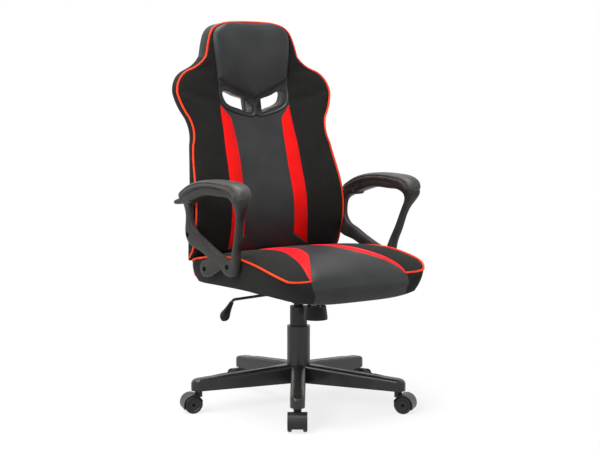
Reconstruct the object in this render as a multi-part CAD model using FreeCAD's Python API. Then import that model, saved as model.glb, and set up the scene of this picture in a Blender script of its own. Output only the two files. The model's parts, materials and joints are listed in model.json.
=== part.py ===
import FreeCAD, Part
import math
import os

from FreeCAD import Placement, Rotation, Vector

# A racing-style gaming chair. Millimetres, +Z up, origin on the floor under the column.
# The chair faces -Y. Left and right are the sitter's own, so the sitter's left is at +X.

# Clearances
FIXED_GAP = 0.1       # between round pieces that are pressed or bolted together
RUN_GAP = 0.15        # between a shaft and the hole that it turns in
SOFT_GAP = 0.3        # between padding and what it wraps
SIDE_GAP = 0.8        # between a turning piece and the wall beside it
CUT_OVER = 1.0        # how far a cut runs past the face that it opens

# Casters
LEG_COUNT = 5
FIRST_LEG_DEG = -124.4
CASTER_CIRCLE_R = 300.0
WHEEL_D = 50.0
WHEEL_W = 12.0
WHEEL_EDGE = 2.5
WHEEL_DISH_R = 18.0
WHEEL_DISH = 2.5
WHEEL_INNER_X = 15.0
CASTER_TRAIL = 20.0
AXLE_D = 8.0
FENDER_WALL = 2.5
FENDER_GAP = 1.5
FENDER_LOW_DEG = -25.0
FENDER_HIGH_DEG = 160.0
STEM_D = 11.0
STEM_IN_LEG = 24.0
STEM_COLLAR_R = 8.5
STEM_HEAD_R = 7.5
STEM_HEAD_H = 2.2
HOOD_BOSS_R = 11.0
HOOD_BOSS_H = 14.0
HOOD_TO_LEG = 2.0
HOOD_BOSS_ABOVE = 6.0
GRIP_RING_H = 5.0
GRIP_RING_WALL = 0.8
GRIP_RING_SLOT = 2.0

# Star base
HUB_WALL = 9.0
HUB_H = 59.0
HUB_RISE = 6.0
LEG_ROOT_W = 42.0
LEG_ROOT_H = 55.0
LEG_TIP_W = 41.0
LEG_TIP_H = 34.0
LEG_WALL = 4.0
LEG_RIB_AT = (110.0, 170.0, 230.0)
LEG_RIB_T = 3.0
LEG_RIB_UP = 4.0
# The leg's nose: distance past the stem, inset of each side, drop of the top
LEG_NOSE = ((10.0, 3.0, 2.0), (17.0, 9.0, 6.0), (20.5, 15.0, 11.0))
LEG_EDGE_R = 10.25
SOCKET_R = 11.0

# Column and gas lift
COLUMN_D = 50.0
COLUMN_WALL = 3.0
COLUMN_BELOW_HUB = 4.0
COLUMN_FLOOR = 4.0
COLUMN_ABOVE_HUB = 162.0
SLEEVE_ROOM = 6.0
SLEEVE_WALL = 2.5
SLEEVE_LIP = 3.0
SLEEVE_LEN = 107.0
BUSH_LEN = 74.0
BUSH_FLANGE_H = 2.5
CYLINDER_D = 28.0
CYLINDER_WALL = 2.0
CYLINDER_TOP_WALL = 6.0
TAPER_LEN = 24.0
TAPER_STEP = 0.8
ROD_D = 10.0
ROD_NECK_D = 8.0
PISTON_H = 12.0
PISTON_BELOW_TOP = 51.0
END_GUIDE_H = 8.0
CYLINDER_ABOVE_BEARING = 6.0
BEARING_R = 12.0
WASHER_H = 2.0
BALL_R = 1.95
BALL_CIRCLE_R = 9.0
BALL_COUNT = 8
CLIP_R = 8.0
CLIP_H = 1.6
ROD_PAST_CLIP = 1.0
VALVE_PIN_D = 7.8
VALVE_PIN_ABOVE = 8.5
VALVE_PIN_BELOW = 4.0

# Tilt mechanism
COLUMN_TO_HOUSING = 31.0
HOUSING_HALF_W = 40.0
HOUSING_FRONT_Y = -122.0
HOUSING_REAR_Y = 42.0
HOUSING_WALL = 3.0
HOUSING_WALL_H = 26.0
CUP_BELOW = 20.0
CUP_ABOVE = 6.0
CUP_WALL = 5.0
PIVOT_Y = -45.0
PIVOT_ABOVE_FLOOR = 15.0
PIVOT_D = 10.0
PIVOT_HEAD_R = 8.0
PIVOT_HEAD_H = 3.0
HOUSING_TO_PLATE = 49.0
PLATE_T = 3.0
PLATE_HALF_W = 95.0
PLATE_FRONT_Y = -130.0
PLATE_REAR_Y = 110.0
FLANGE_T = 3.0
FLANGE_HALF_LEN = 27.0
FLANGE_BELOW_PIVOT = 9.0
PLATE_HOLES_X = 75.0
PLATE_HOLES_Y = (-105.0, 85.0)
TENSION_Y = -88.0
TENSION_BOLT_D = 8.0
TENSION_HEAD_R = 8.0
TENSION_HEAD_H = 6.0
TENSION_SLOT_W = 13.0
TENSION_SLOT_LEN = 26.0
KNOB_TOP_R = 30.0
KNOB_LOW_R = 34.0
KNOB_SKIRT_H = 8.0
KNOB_H = 38.0
KNOB_FLOOR = 13.0
KNOB_WALL = 5.0
KNOB_BELOW_HOUSING = 17.0
KNOB_BOLT_REACH = 10.0
SPRING_R = 14.0
SPRING_WIRE_D = 4.0
SPRING_TURNS = 5

# Lever
LEVER_ROD_D = 8.0
LEVER_TIP_X = 20.0
LEVER_DROOP_DEG = 2.06
LEVER_OVER_PIN = 0.5
LEVER_FULCRUM_X = -52.0
LEVER_BEND_X = -222.0
LEVER_BEND_R = 14.0
LEVER_DROP_DEG = 58.0
LEVER_DROP_LEN = 26.0
LEVER_BLOCK = 14.0
LEVER_HOLE_GAP = 4.0
TRUNNION_D = 6.0
EAR_T = 3.5
EAR_GAP = 0.5
PADDLE_NECK_R = 6.5
PADDLE_FLARE_R = 8.5
PADDLE_FLARE_AT = 15.0
PADDLE_R = 14.0
PADDLE_WIDE_AT = 36.0
PADDLE_ROUND_AT = 49.5
PADDLE_LEN = 60.0
PADDLE_FLAT = 0.62

# Seat
SEAT_HALF_W = 256.0
SEAT_FRONT_Y = -316.0
SEAT_REAR_Y = 195.0
BOARD_T = 12.0
BOARD_SIDE_IN = 30.0
BOARD_CORNER_R = 40.0
BOARD_FRONT_IN = 46.0
BOARD_REAR_IN = 20.0
SEAM_W = 5.0
SEAM_DEPTH = 4.0
SEAT_SEAM_FRONT_X = 161.0
SEAT_SEAM_MID_X = 150.0
SEAT_SEAM_BEND_IN = 206.0
RAIL_T = 22.0
SEAT_RAIL_H = 58.0
SEAT_RAIL_LEN = 200.0
SEAT_RAIL_REAR_IN = 92.0
DUST_COVER_T = 0.8
DUST_COVER_IN = 8.0
PLATE_BOLT_D = 8.0
PLATE_BOLT_HEAD_R = 6.5
PLATE_BOLT_HEAD_H = 4.5
TEE_NUT_R = 5.0
TEE_FLANGE_R = 9.5
TEE_FLANGE_H = 1.6
TEE_NUT_H = 10.0

# Seat cushion sections from front to rear: the end that the place is counted from, place,
# inset of the side, height of the lower edge, of the piped edge and of the crown above it
SEAT_SECTIONS = (
    ("front", 0.0, 106.0, -6.0, 20.0, 4.0),
    ("front", 10.0, 60.0, -20.0, 36.0, 4.0),
    ("front", 28.0, 26.0, -25.0, 49.0, 7.0),
    ("front", 66.0, 9.0, -20.0, 57.0, 12.0),
    ("front", 126.0, 2.0, -10.0, 71.0, 13.0),
    ("front", 206.0, 0.0, -4.0, 82.0, 13.0),
    ("rear", -225.0, 0.0, -3.0, 83.0, 13.0),
    ("rear", -135.0, 0.0, -4.0, 76.0, 10.0),
    ("rear", -65.0, 2.0, -6.0, 65.0, 6.0),
    ("rear", -20.0, 10.0, -6.0, 52.0, 4.0),
    ("rear", 0.0, 24.0, 2.0, 40.0, 3.0),
)
SEAT_TUCK = 17.0      # how far the lower edge is drawn in from the piped edge
SEAT_SIDE_BULGE = 4.5

# Back. Heights are counted up from the underside of the seat board, or down from the back's top.
BACK_TOP = 747.0
BACK_OVER_SEAT_W = 2.0
BACK_REAR_IN = 5.0
BACK_FRONT_FOOT = 75.0
BACK_REAR_FOOT = 54.0
BACK_FOOT_DEPTH = 44.0
HEAD_TOP_HALF_W = 70.0
HEAD_TOP_DROP = 2.0
HEAD_HALF_W = 141.0
NECK_HALF_W = 158.0
SHOULDER_OUT = 11.0
WAIST_IN = 26.0
WING_X = 250.0
BACK_REAR_CROWN = 8.0
BACK_SLAB_OVER = 40.0
BACK_CUT_DEPTH = 270.0
# Back sections: the end that the height is counted from, height, then front at the middle, front at
# the wings and rear, each from the foot's rear
BACK_SECTIONS = (
    ("seat", 30.0, -22.0, -20.0, 2.0),
    ("seat", 82.0, -30.0, -31.0, 2.0),
    ("seat", 148.0, -37.0, -49.0, 0.0),
    ("seat", 218.0, -35.0, -52.0, -2.0),
    ("seat", 288.0, -19.0, -37.0, 9.0),
    ("seat", 363.0, 2.0, -12.0, 27.0),
    ("top", -319.0, 25.0, 2.0, 50.0),
    ("top", -269.0, 42.0, 19.0, 68.0),
    ("top", -209.0, 53.0, 37.0, 83.0),
    ("top", -159.0, 58.0, 48.0, 96.0),
    ("top", -109.0, 59.0, 64.0, 109.0),
    ("top", -49.0, 64.0, 80.0, 118.0),
    ("top", 23.0, 78.0, 90.0, 123.0),
)
# Back outline from the head down: one point ends a straight side, two are an arc's middle and end.
# A point is the width it is counted from, the distance out from there and the height.
BACK_EDGE = (
    (("head", -22.0, -16.0), ("head", 0.0, -47.0)),
    (("neck", 0.0, -103.0),),
    (("neck", 24.0, -126.0), ("neck", 60.0, -144.0)),
    (("shoulder", -13.0, -172.0), ("shoulder", 0.0, -211.0)),
    (("shoulder", -10.0, -247.0), ("waist", 9.0, -281.0)),
    (("waist", 0.0, -318.0), ("waist", 8.0, -362.0)),
    (("foot", -1.0, 247.0), ("foot", 0.0, 107.0)),
)
HEAD_PAD_RISE = 12.0
HEAD_PAD_TOP = -19.0
HEAD_PAD_LOW = -169.0
HEAD_PAD_POINT = -229.0
HEAD_PAD_HALF_W = 127.0
HEAD_PAD_CORNER_R = 60.0
BACK_BOARD_T = 10.0
BACK_BOARD_IN = 16.0
BACK_BOARD_COVER = 8.0
BACK_BOARD_LOW = 84.0
BACK_RAIL_IN = 14.0
BACK_RAIL_LOW = 108.0
BACK_RAIL_TOP = 246.0
BACK_RAIL_DEPTH = 22.0
BACK_RAIL_COVER = 3.0
STRIPE_INNER_X = 88.0
STRIPE_OUTER_X = 128.0
STRIPE_LOW = 84.0
STRIPE_TOP = -257.0
STRIPE_SLANT = 36.0
BEZEL_T = 3.0
BEZEL_RIM = 9.0
BEZEL_SLEEVE = 2.5
# Corners of one slot seen from the front: distance from the middle, height
SLOT_CORNERS = ((26.0, -231.0), (114.0, -192.0), (113.0, -239.0), (84.0, -254.0), (26.0, -273.0))

# Arms
ARM_ON_SEAT_GAP = 0.4
ARM_ON_BACK_OUT = 4.6
ARM_FOOT_T = 26.0
ARM_TOP_IN = 10.0
ARM_TOP_OUT = 56.0
ARM_SPLIT = -175.0
ARM_REACH = 450.0
PAD_IN = 6.0
PAD_W = 58.0
PAD_T = 24.0
PAD_FILLET = 9.0
ARM_BOLT_D = 7.0
ARM_BOLT_HEAD_R = 6.5
ARM_BOLT_HEAD_H = 5.0
ARM_BOLT_SUNK = 1.0
INSERT_R = 5.5
INSERT_LEN = 14.0
# Bolts of one arm: distance behind the seat's rear end, height
SEAT_BOLTS = ((-257.0, 60.0), (-133.0, 42.0))
BACK_BOLTS = ((-37.0, 217.0), (-37.0, 130.0))
# The arm seen from the side, counted as its bolts are: a pair of points is an arc's middle and end
ARM_OUTER = ((-360.0, 234.0), ((-363.0, 260.0), (-345.0, 270.0)), ((-215.0, 282.0), (-75.0, 252.0)),
             (-7.0, 218.0), (-23.0, 202.0), (-27.0, 126.0), ((-31.0, 112.0), (-47.0, 108.0)),
             (-137.0, 78.0), ((-147.0, 72.0), (-137.0, 66.0)), ((-109.0, 40.0), (-139.0, 20.0)),
             (-165.0, 24.0), (-228.0, 48.0), (-253.0, 37.0), ((-291.0, 32.0), (-299.0, 58.0)),
             (-294.0, 89.0), (-333.0, 173.0))
ARM_INNER = ((-326.0, 234.0), ((-323.0, 245.0), (-305.0, 249.0)), ((-205.0, 253.0), (-105.0, 232.0)),
             (-77.0, 222.0), (-69.0, 213.0), (-69.0, 166.0), (-82.0, 158.0), (-130.0, 136.0),
             (-190.0, 119.0), ((-235.0, 98.0), (-262.0, 89.0)), (-281.0, 129.0), (-301.0, 173.0))
PAD_SIDE = ((-366.0, 226.0), ((-398.0, 226.0), (-406.0, 262.0)), ((-396.0, 285.0), (-345.0, 297.0)),
            ((-215.0, 301.0), (-75.0, 274.0)), (-25.0, 251.0), ((1.0, 234.0), (8.0, 220.0)),
            (-9.0, 214.0), (-75.0, 247.0), ((-215.0, 277.0), (-345.0, 265.0)),
            ((-357.0, 256.0), (-356.0, 234.0)))
# The arm's front and rear halves seen from the front: distance out from the seat's side, height
ARM_FRONT_HALF = ((ARM_ON_SEAT_GAP, 0.0), (ARM_FOOT_T, 0.0), (ARM_FOOT_T, 60.0), (34.0, 110.0), (46.0, 190.0),
                  (ARM_TOP_OUT, 270.0), (ARM_TOP_OUT, 300.0), (ARM_TOP_IN, 300.0), (ARM_TOP_IN, 255.0),
                  (20.0, 190.0), (ARM_ON_SEAT_GAP, 75.0))
ARM_REAR_HALF = ((ARM_ON_SEAT_GAP, 0.0), (ARM_FOOT_T, 0.0), (30.0, 190.0), (ARM_TOP_OUT, 240.0),
                 (ARM_TOP_OUT, 300.0), (ARM_TOP_IN, 300.0), (ARM_TOP_IN, 255.0), (ARM_ON_BACK_OUT, 222.0),
                 (ARM_ON_BACK_OUT, 100.0), (ARM_ON_SEAT_GAP, 85.0))

# Heights that follow from the sizes above
AXLE_Z = WHEEL_D / 2
HOOD_TOP_Z = WHEEL_D + FENDER_GAP + FENDER_WALL + HOOD_BOSS_ABOVE
LEG_LOW_Z = HOOD_TOP_Z + HOOD_TO_LEG
HUB_LOW_Z = LEG_LOW_Z + HUB_RISE
HUB_TOP_Z = HUB_LOW_Z + HUB_H
COLUMN_LOW_Z = HUB_LOW_Z - COLUMN_BELOW_HUB
COLUMN_TOP_Z = HUB_TOP_Z + COLUMN_ABOVE_HUB
BEARING_Z = COLUMN_LOW_Z + COLUMN_FLOOR
BALL_GAP = 2 * BALL_R + FIXED_GAP
BEARING_TOP_Z = BEARING_Z + 2 * WASHER_H + BALL_GAP
HOUSING_Z = COLUMN_TOP_Z + COLUMN_TO_HOUSING
CUP_LOW_Z = HOUSING_Z - CUP_BELOW
CUP_TOP_Z = HOUSING_Z + CUP_ABOVE
CYLINDER_LOW_Z = BEARING_TOP_Z + CYLINDER_ABOVE_BEARING
CYLINDER_TOP_Z = CUP_LOW_Z + TAPER_LEN
VALVE_TOP_Z = CYLINDER_TOP_Z + VALVE_PIN_ABOVE
LEVER_Z = VALVE_TOP_Z + LEVER_OVER_PIN + LEVER_ROD_D / 2
PIVOT_Z = HOUSING_Z + PIVOT_ABOVE_FLOOR
PLATE_Z = HOUSING_Z + HOUSING_TO_PLATE
SEAT_Z = PLATE_Z + PLATE_T
BOARD_TOP_Z = SEAT_Z + BOARD_T
KNOB_TOP_Z = HOUSING_Z - KNOB_BELOW_HOUSING
KNOB_LOW_Z = KNOB_TOP_Z - KNOB_H
KNOB_FLOOR_Z = KNOB_LOW_Z + KNOB_FLOOR
BACK_TOP_Z = SEAT_Z + BACK_TOP

# Places across the chair that follow from the sizes above
BACK_LOW_HALF_W = SEAT_HALF_W + BACK_OVER_SEAT_W
SHOULDER_HALF_W = BACK_LOW_HALF_W + SHOULDER_OUT
WAIST_HALF_W = BACK_LOW_HALF_W - WAIST_IN
BACK_REAR_Y = SEAT_REAR_Y - BACK_REAR_IN
BACK_RAIL_X = BACK_LOW_HALF_W - BACK_RAIL_IN
HUB_R = COLUMN_D / 2 + HUB_WALL
BOARD_HALF_W = SEAT_HALF_W - BOARD_SIDE_IN
BOARD_FRONT_Y = SEAT_FRONT_Y + BOARD_FRONT_IN
BOARD_REAR_Y = SEAT_REAR_Y - BOARD_REAR_IN
SLAB_HALF_W = max(SHOULDER_HALF_W, BACK_LOW_HALF_W) + BACK_SLAB_OVER
BACK_STATIONS = [(place + (BACK_TOP if end == "top" else 0.0), *depths)
                 for end, place, *depths in BACK_SECTIONS]

PARTS = {}
X_AXIS = Vector(1, 0, 0)
Y_AXIS = Vector(0, 1, 0)
Z_AXIS = Vector(0, 0, 1)


def bar(radius, start, end):
    """A round bar from one point to another."""
    first = Vector(*start)
    axis = Vector(*end) - first
    return Part.makeCylinder(radius, axis.Length, first, axis)


def upright(radius, low, high, x=0.0, y=0.0):
    """A round bar along Z."""
    return bar(radius, (x, y, low), (x, y, high))


def block(low, high):
    """A box between two corners."""
    size = Vector(*high) - Vector(*low)
    return Part.makeBox(size.x, size.y, size.z, Vector(*low))


def turned(profile):
    """A solid turned about Z from (radius, height) corners."""
    corners = [Vector(radius, 0, height) for radius, height in profile]
    face = Part.Face(Part.makePolygon(corners + corners[:1]))
    return face.revolve(Vector(), Z_AXIS, 360)


def tube(outer, inner, low, high):
    """A straight tube about Z."""
    return turned([(inner, low), (outer, low), (outer, high), (inner, high)])


def side_view(y, z):
    return Vector(0, y, z)


def front_view(x, z):
    return Vector(x, 0, z)


def plan_view(x, y):
    return Vector(x, y, 0)


def outline(view, start, *moves):
    """A closed wire; a move is an end point, or a point on an arc and the arc's end point."""
    edges = []
    here = start
    last = moves[-1]
    closed = (last[-1] if isinstance(last[0], tuple) else last) == start
    for move in moves if closed else moves + (start,):
        if isinstance(move[0], tuple):
            through, there = move
            edges.append(Part.Arc(view(*here), view(*through), view(*there)).toShape())
        else:
            there = move
            edges.append(Part.makeLine(view(*here), view(*there)))
        here = there
    return Part.Wire(edges)


def slab(wire, direction, low, high):
    """A flat outline carried along an axis from low to high."""
    solid = Part.Face(wire).extrude(direction * (high - low))
    solid.translate(direction * low)
    return solid


def placed(shape, shift, turn=Rotation()):
    """A copy turned about the origin and then moved."""
    copy = shape.copy()
    copy.Placement = Placement(Vector(*shift), turn).multiply(copy.Placement)
    return copy


def mirrored(shape):
    """The same shape on the chair's other side."""
    return shape.mirror(Vector(), X_AXIS)


def both_sides(shape):
    return [shape, mirrored(shape)]


def shifted(shape, y):
    """A copy moved forwards or backwards."""
    return placed(shape, (0, y, 0))


def add(name, shape):
    """Keep a named piece; a list of solids is one group."""
    pieces = shape if isinstance(shape, list) else [shape]
    solids = [solid for piece in pieces for solid in piece.Solids]
    if len(solids) != len(pieces):
        print(name, "came out as", len(solids), "solids")
    PARTS[name] = solids[0] if len(solids) == 1 else Part.makeCompound(solids)


# Casters: built at the origin with the trail along +X and the axle along Y
def at_leg(shape, number):
    """Stand a caster or leg piece at its place in the star."""
    angle = FIRST_LEG_DEG + number * 360.0 / LEG_COUNT
    return placed(shape, (0, 0, 0), Rotation(Z_AXIS, angle))


def at_caster(shape, number):
    return at_leg(placed(shape, (CASTER_CIRCLE_R, 0, 0)), number)


def caster_wheel(side):
    """A moulded wheel with rounded edges and a dished outer face, on the side given by the sign."""
    radius = WHEEL_D / 2
    bore = AXLE_D / 2 + RUN_GAP
    edge = WHEEL_EDGE
    dish_floor = WHEEL_W - WHEEL_DISH
    profile = [(bore, 0), (radius - edge, 0), (radius, edge), (radius, WHEEL_W - edge),
               (radius - edge, WHEEL_W), (WHEEL_DISH_R, WHEEL_W), (WHEEL_DISH_R - WHEEL_DISH, dish_floor),
               (bore, dish_floor)]
    wheel = turned(profile)
    return placed(wheel, (CASTER_TRAIL, side * WHEEL_INNER_X, AXLE_Z), Rotation(X_AXIS, -90 * side))


def caster_axle():
    half = WHEEL_INNER_X + WHEEL_W - WHEEL_DISH
    return bar(AXLE_D / 2, (CASTER_TRAIL, -half, AXLE_Z), (CASTER_TRAIL, half, AXLE_Z))


def caster_hood():
    """The swivelling body: a web between the wheels, a fender over them and a boss for the stem."""
    inner = WHEEL_D / 2 + FENDER_GAP
    outer = inner + FENDER_WALL
    half_w = WHEEL_INNER_X + WHEEL_W
    web_half = WHEEL_INNER_X - SIDE_GAP

    def ring_point(radius, degrees):
        angle = math.radians(degrees)
        return (CASTER_TRAIL + radius * math.cos(angle), AXLE_Z + radius * math.sin(angle))

    middle = (FENDER_LOW_DEG + FENDER_HIGH_DEG) / 2
    arch = outline(front_view, ring_point(inner, FENDER_LOW_DEG),
                   ring_point(outer, FENDER_LOW_DEG),
                   (ring_point(outer, middle), ring_point(outer, FENDER_HIGH_DEG)),
                   ring_point(inner, FENDER_HIGH_DEG),
                   (ring_point(inner, middle), ring_point(inner, FENDER_LOW_DEG)))
    fender = slab(arch, Y_AXIS, -half_w, half_w)
    web = bar(outer, (CASTER_TRAIL, -web_half, AXLE_Z), (CASTER_TRAIL, web_half, AXLE_Z))
    low_cut = AXLE_Z + outer * math.sin(math.radians(FENDER_LOW_DEG))
    web = web.cut(block((-WHEEL_D, -half_w, -WHEEL_D), (2 * WHEEL_D, half_w, low_cut)))
    boss = upright(HOOD_BOSS_R, HOOD_TOP_Z - HOOD_BOSS_H - STEM_HEAD_H, HOOD_TOP_Z)
    hood = fender.fuse([web, boss]).removeSplitter()
    pocket_top = HOOD_TOP_Z - HOOD_BOSS_H
    stem_hole = upright(STEM_D / 2 + RUN_GAP, 0, HOOD_TOP_Z + CUT_OVER)
    pocket = upright(STEM_HEAD_R + SIDE_GAP, 0, pocket_top)
    axle_hole = bar(AXLE_D / 2 + FIXED_GAP, (CASTER_TRAIL, -half_w, AXLE_Z),
                    (CASTER_TRAIL, half_w, AXLE_Z))
    return hood.cut([stem_hole, pocket, axle_hole])


def caster_stem():
    """A stem fixed in the leg, with a collar under the leg and a head inside the hood."""
    head_top = HOOD_TOP_Z - HOOD_BOSS_H - RUN_GAP
    radius = STEM_D / 2
    top = LEG_LOW_Z + STEM_IN_LEG
    groove = LEG_LOW_Z + STEM_IN_LEG / 2
    neck = radius - GRIP_RING_WALL - FIXED_GAP
    collar_low = HOOD_TOP_Z + RUN_GAP
    groove_top = groove + GRIP_RING_H
    return turned([(0, head_top - STEM_HEAD_H), (STEM_HEAD_R, head_top - STEM_HEAD_H),
                   (STEM_HEAD_R, head_top), (radius, head_top), (radius, collar_low),
                   (STEM_COLLAR_R, collar_low), (STEM_COLLAR_R, LEG_LOW_Z), (radius, LEG_LOW_Z),
                   (radius, groove), (neck, groove), (neck, groove_top), (radius, groove_top),
                   (radius, top), (0, top)])


def grip_ring():
    """A split ring in the stem's groove, which holds the stem in its socket."""
    groove = LEG_LOW_Z + STEM_IN_LEG / 2
    inner = STEM_D / 2 - GRIP_RING_WALL
    ring = tube(STEM_D / 2, inner, groove + RUN_GAP, groove + GRIP_RING_H - RUN_GAP)
    half = GRIP_RING_SLOT / 2
    return ring.cut(block((0, -half, groove), (STEM_D, half, groove + GRIP_RING_H)))


def casters():
    for number in range(LEG_COUNT):
        name = number + 1
        add(f"caster_hood_{name}", at_caster(caster_hood(), number))
        add(f"caster_axle_{name}", at_caster(caster_axle(), number))
        add(f"caster_wheel_{name}_a", at_caster(caster_wheel(1), number))
        add(f"caster_wheel_{name}_b", at_caster(caster_wheel(-1), number))
    add("caster_stems", [at_caster(caster_stem(), number) for number in range(LEG_COUNT)])
    add("stem_grip_rings", [at_caster(grip_ring(), number) for number in range(LEG_COUNT)])


# Star base
def leg_section(at, width, low, high, corner):
    """The leg's outline across its length: flat below, with two rounded upper corners."""
    half = width / 2
    cut = corner * (1 - math.sqrt(0.5))

    def view(y, z):
        return Vector(at, y, z)

    return outline(view, (-half, low), (half, low), (half, high - corner),
                   ((half - cut, high - cut), (half - corner, high)), (-half + corner, high),
                   ((-half + cut, high - cut), (-half, high - corner)))


def star_leg():
    """A hollow leg, open below, with a blunt nose, cross ribs and a socket for the caster's stem."""
    root_at = HUB_R / 2
    root_top = HUB_LOW_Z + LEG_ROOT_H
    tip_top = LEG_LOW_Z + LEG_TIP_H
    sections = [leg_section(root_at, LEG_ROOT_W, HUB_LOW_Z, root_top, LEG_EDGE_R),
                leg_section(CASTER_CIRCLE_R, LEG_TIP_W, LEG_LOW_Z, tip_top, LEG_EDGE_R)]
    for past, inset, drop in LEG_NOSE:
        sections.append(leg_section(CASTER_CIRCLE_R + past, LEG_TIP_W - 2 * inset, LEG_LOW_Z, tip_top - drop,
                                    LEG_EDGE_R - inset / 2))
    skin = Part.makeLoft(sections, True, True)
    edge = LEG_EDGE_R - LEG_WALL / 2
    hollow = Part.makeLoft([leg_section(root_at, LEG_ROOT_W - 2 * LEG_WALL, HUB_LOW_Z - LEG_WALL,
                                        root_top - LEG_WALL, edge),
                            leg_section(CASTER_CIRCLE_R, LEG_TIP_W - 2 * LEG_WALL, LEG_LOW_Z - LEG_WALL,
                                        tip_top - LEG_WALL, edge)], True, True)
    ribs = [block((at, -LEG_ROOT_W, LEG_LOW_Z + LEG_RIB_UP), (at + LEG_RIB_T, LEG_ROOT_W, root_top))
            for at in LEG_RIB_AT]
    socket = upright(SOCKET_R, LEG_LOW_Z - 2 * LEG_WALL, tip_top, CASTER_CIRCLE_R)
    leg = skin.cut(hollow.cut(ribs + [socket]))
    hole = upright(STEM_D / 2 + FIXED_GAP, 0, LEG_LOW_Z + STEM_IN_LEG + SIDE_GAP, CASTER_CIRCLE_R)
    return leg.cut(hole).Solids[0]


def star_base():
    hub = upright(HUB_R, HUB_LOW_Z, HUB_TOP_Z)
    legs = [at_leg(star_leg(), number) for number in range(LEG_COUNT)]
    star = hub.fuse(legs)
    bore = upright(COLUMN_D / 2 + FIXED_GAP, 0, HUB_TOP_Z + CUT_OVER)
    add("star_base", star.cut(bore).removeSplitter())


# Column and gas lift
def column():
    outer = COLUMN_D / 2
    inner = outer - COLUMN_WALL
    neck_hole = ROD_NECK_D / 2 + RUN_GAP
    floor_top = COLUMN_LOW_Z + COLUMN_FLOOR
    add("column_tube", turned([(neck_hole, COLUMN_LOW_Z), (outer, COLUMN_LOW_Z), (outer, COLUMN_TOP_Z),
                               (inner, COLUMN_TOP_Z), (inner, floor_top), (neck_hole, floor_top)]))
    sleeve_top = HUB_TOP_Z + SLEEVE_LEN
    sleeve = outer + SLEEVE_ROOM + SLEEVE_WALL
    lip_low = sleeve_top - SLEEVE_LIP
    add("column_sleeve", turned([(sleeve - SLEEVE_WALL, HUB_TOP_Z), (sleeve, HUB_TOP_Z), (sleeve, sleeve_top),
                                 (outer + SOFT_GAP, sleeve_top), (outer + SOFT_GAP, lip_low),
                                 (sleeve - SLEEVE_WALL, lip_low)]))
    guide = CYLINDER_D / 2 + RUN_GAP
    flange_r = outer - FIXED_GAP
    flange_top = COLUMN_TOP_Z + BUSH_FLANGE_H
    bush_r = inner - FIXED_GAP
    add("column_bush", turned([(guide, COLUMN_TOP_Z - BUSH_LEN), (bush_r, COLUMN_TOP_Z - BUSH_LEN),
                               (bush_r, COLUMN_TOP_Z), (flange_r, COLUMN_TOP_Z), (flange_r, flange_top),
                               (guide, flange_top)]))
    washers = [tube(BEARING_R, neck_hole, BEARING_Z, BEARING_Z + WASHER_H),
               tube(BEARING_R, neck_hole, BEARING_TOP_Z - WASHER_H, BEARING_TOP_Z)]
    ball_z = BEARING_Z + WASHER_H + BALL_GAP / 2
    turns = [math.radians(360.0 * ball / BALL_COUNT) for ball in range(BALL_COUNT)]
    ring = [(BALL_CIRCLE_R * math.cos(turn), BALL_CIRCLE_R * math.sin(turn)) for turn in turns]
    balls = [Part.makeSphere(BALL_R, Vector(x, y, ball_z)) for x, y in ring]
    add("thrust_bearing", washers + balls)


def gas_lift():
    rod = ROD_D / 2
    neck = ROD_NECK_D / 2
    clip_top = COLUMN_LOW_Z - RUN_GAP
    clip_low = clip_top - CLIP_H
    shoulder = BEARING_TOP_Z + RUN_GAP
    piston_top = CYLINDER_TOP_Z - PISTON_BELOW_TOP
    piston_low = piston_top - PISTON_H
    rod_low = clip_low - ROD_PAST_CLIP
    add("piston_rod", turned([(0, rod_low), (neck, rod_low), (neck, shoulder), (rod, shoulder),
                              (rod, piston_top), (0, piston_top)]))
    bore = CYLINDER_D / 2 - CYLINDER_WALL
    add("piston_head", tube(bore - RUN_GAP, rod + FIXED_GAP, piston_low, piston_top))
    add("piston_clip", tube(CLIP_R, neck + FIXED_GAP, clip_low, clip_top))
    outer = CYLINDER_D / 2
    valve_hole = VALVE_PIN_D / 2 + RUN_GAP
    ceiling = CYLINDER_TOP_Z - CYLINDER_TOP_WALL
    add("gas_cylinder", turned([(bore, CYLINDER_LOW_Z), (outer, CYLINDER_LOW_Z), (outer, CUP_LOW_Z),
                                (outer - TAPER_STEP, CYLINDER_TOP_Z), (valve_hole, CYLINDER_TOP_Z),
                                (valve_hole, ceiling), (bore, ceiling)]))
    guide_top = CYLINDER_LOW_Z + END_GUIDE_H
    add("cylinder_end_guide", tube(bore - FIXED_GAP, rod + RUN_GAP, CYLINDER_LOW_Z, guide_top))
    add("valve_pin", upright(VALVE_PIN_D / 2, ceiling - VALVE_PIN_BELOW, VALVE_TOP_Z))


# Tilt mechanism
def lever_z(x):
    """Height of the lever rod's axis, which droops from the valve pin outwards."""
    return LEVER_Z + x * math.tan(math.radians(LEVER_DROOP_DEG))


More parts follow.
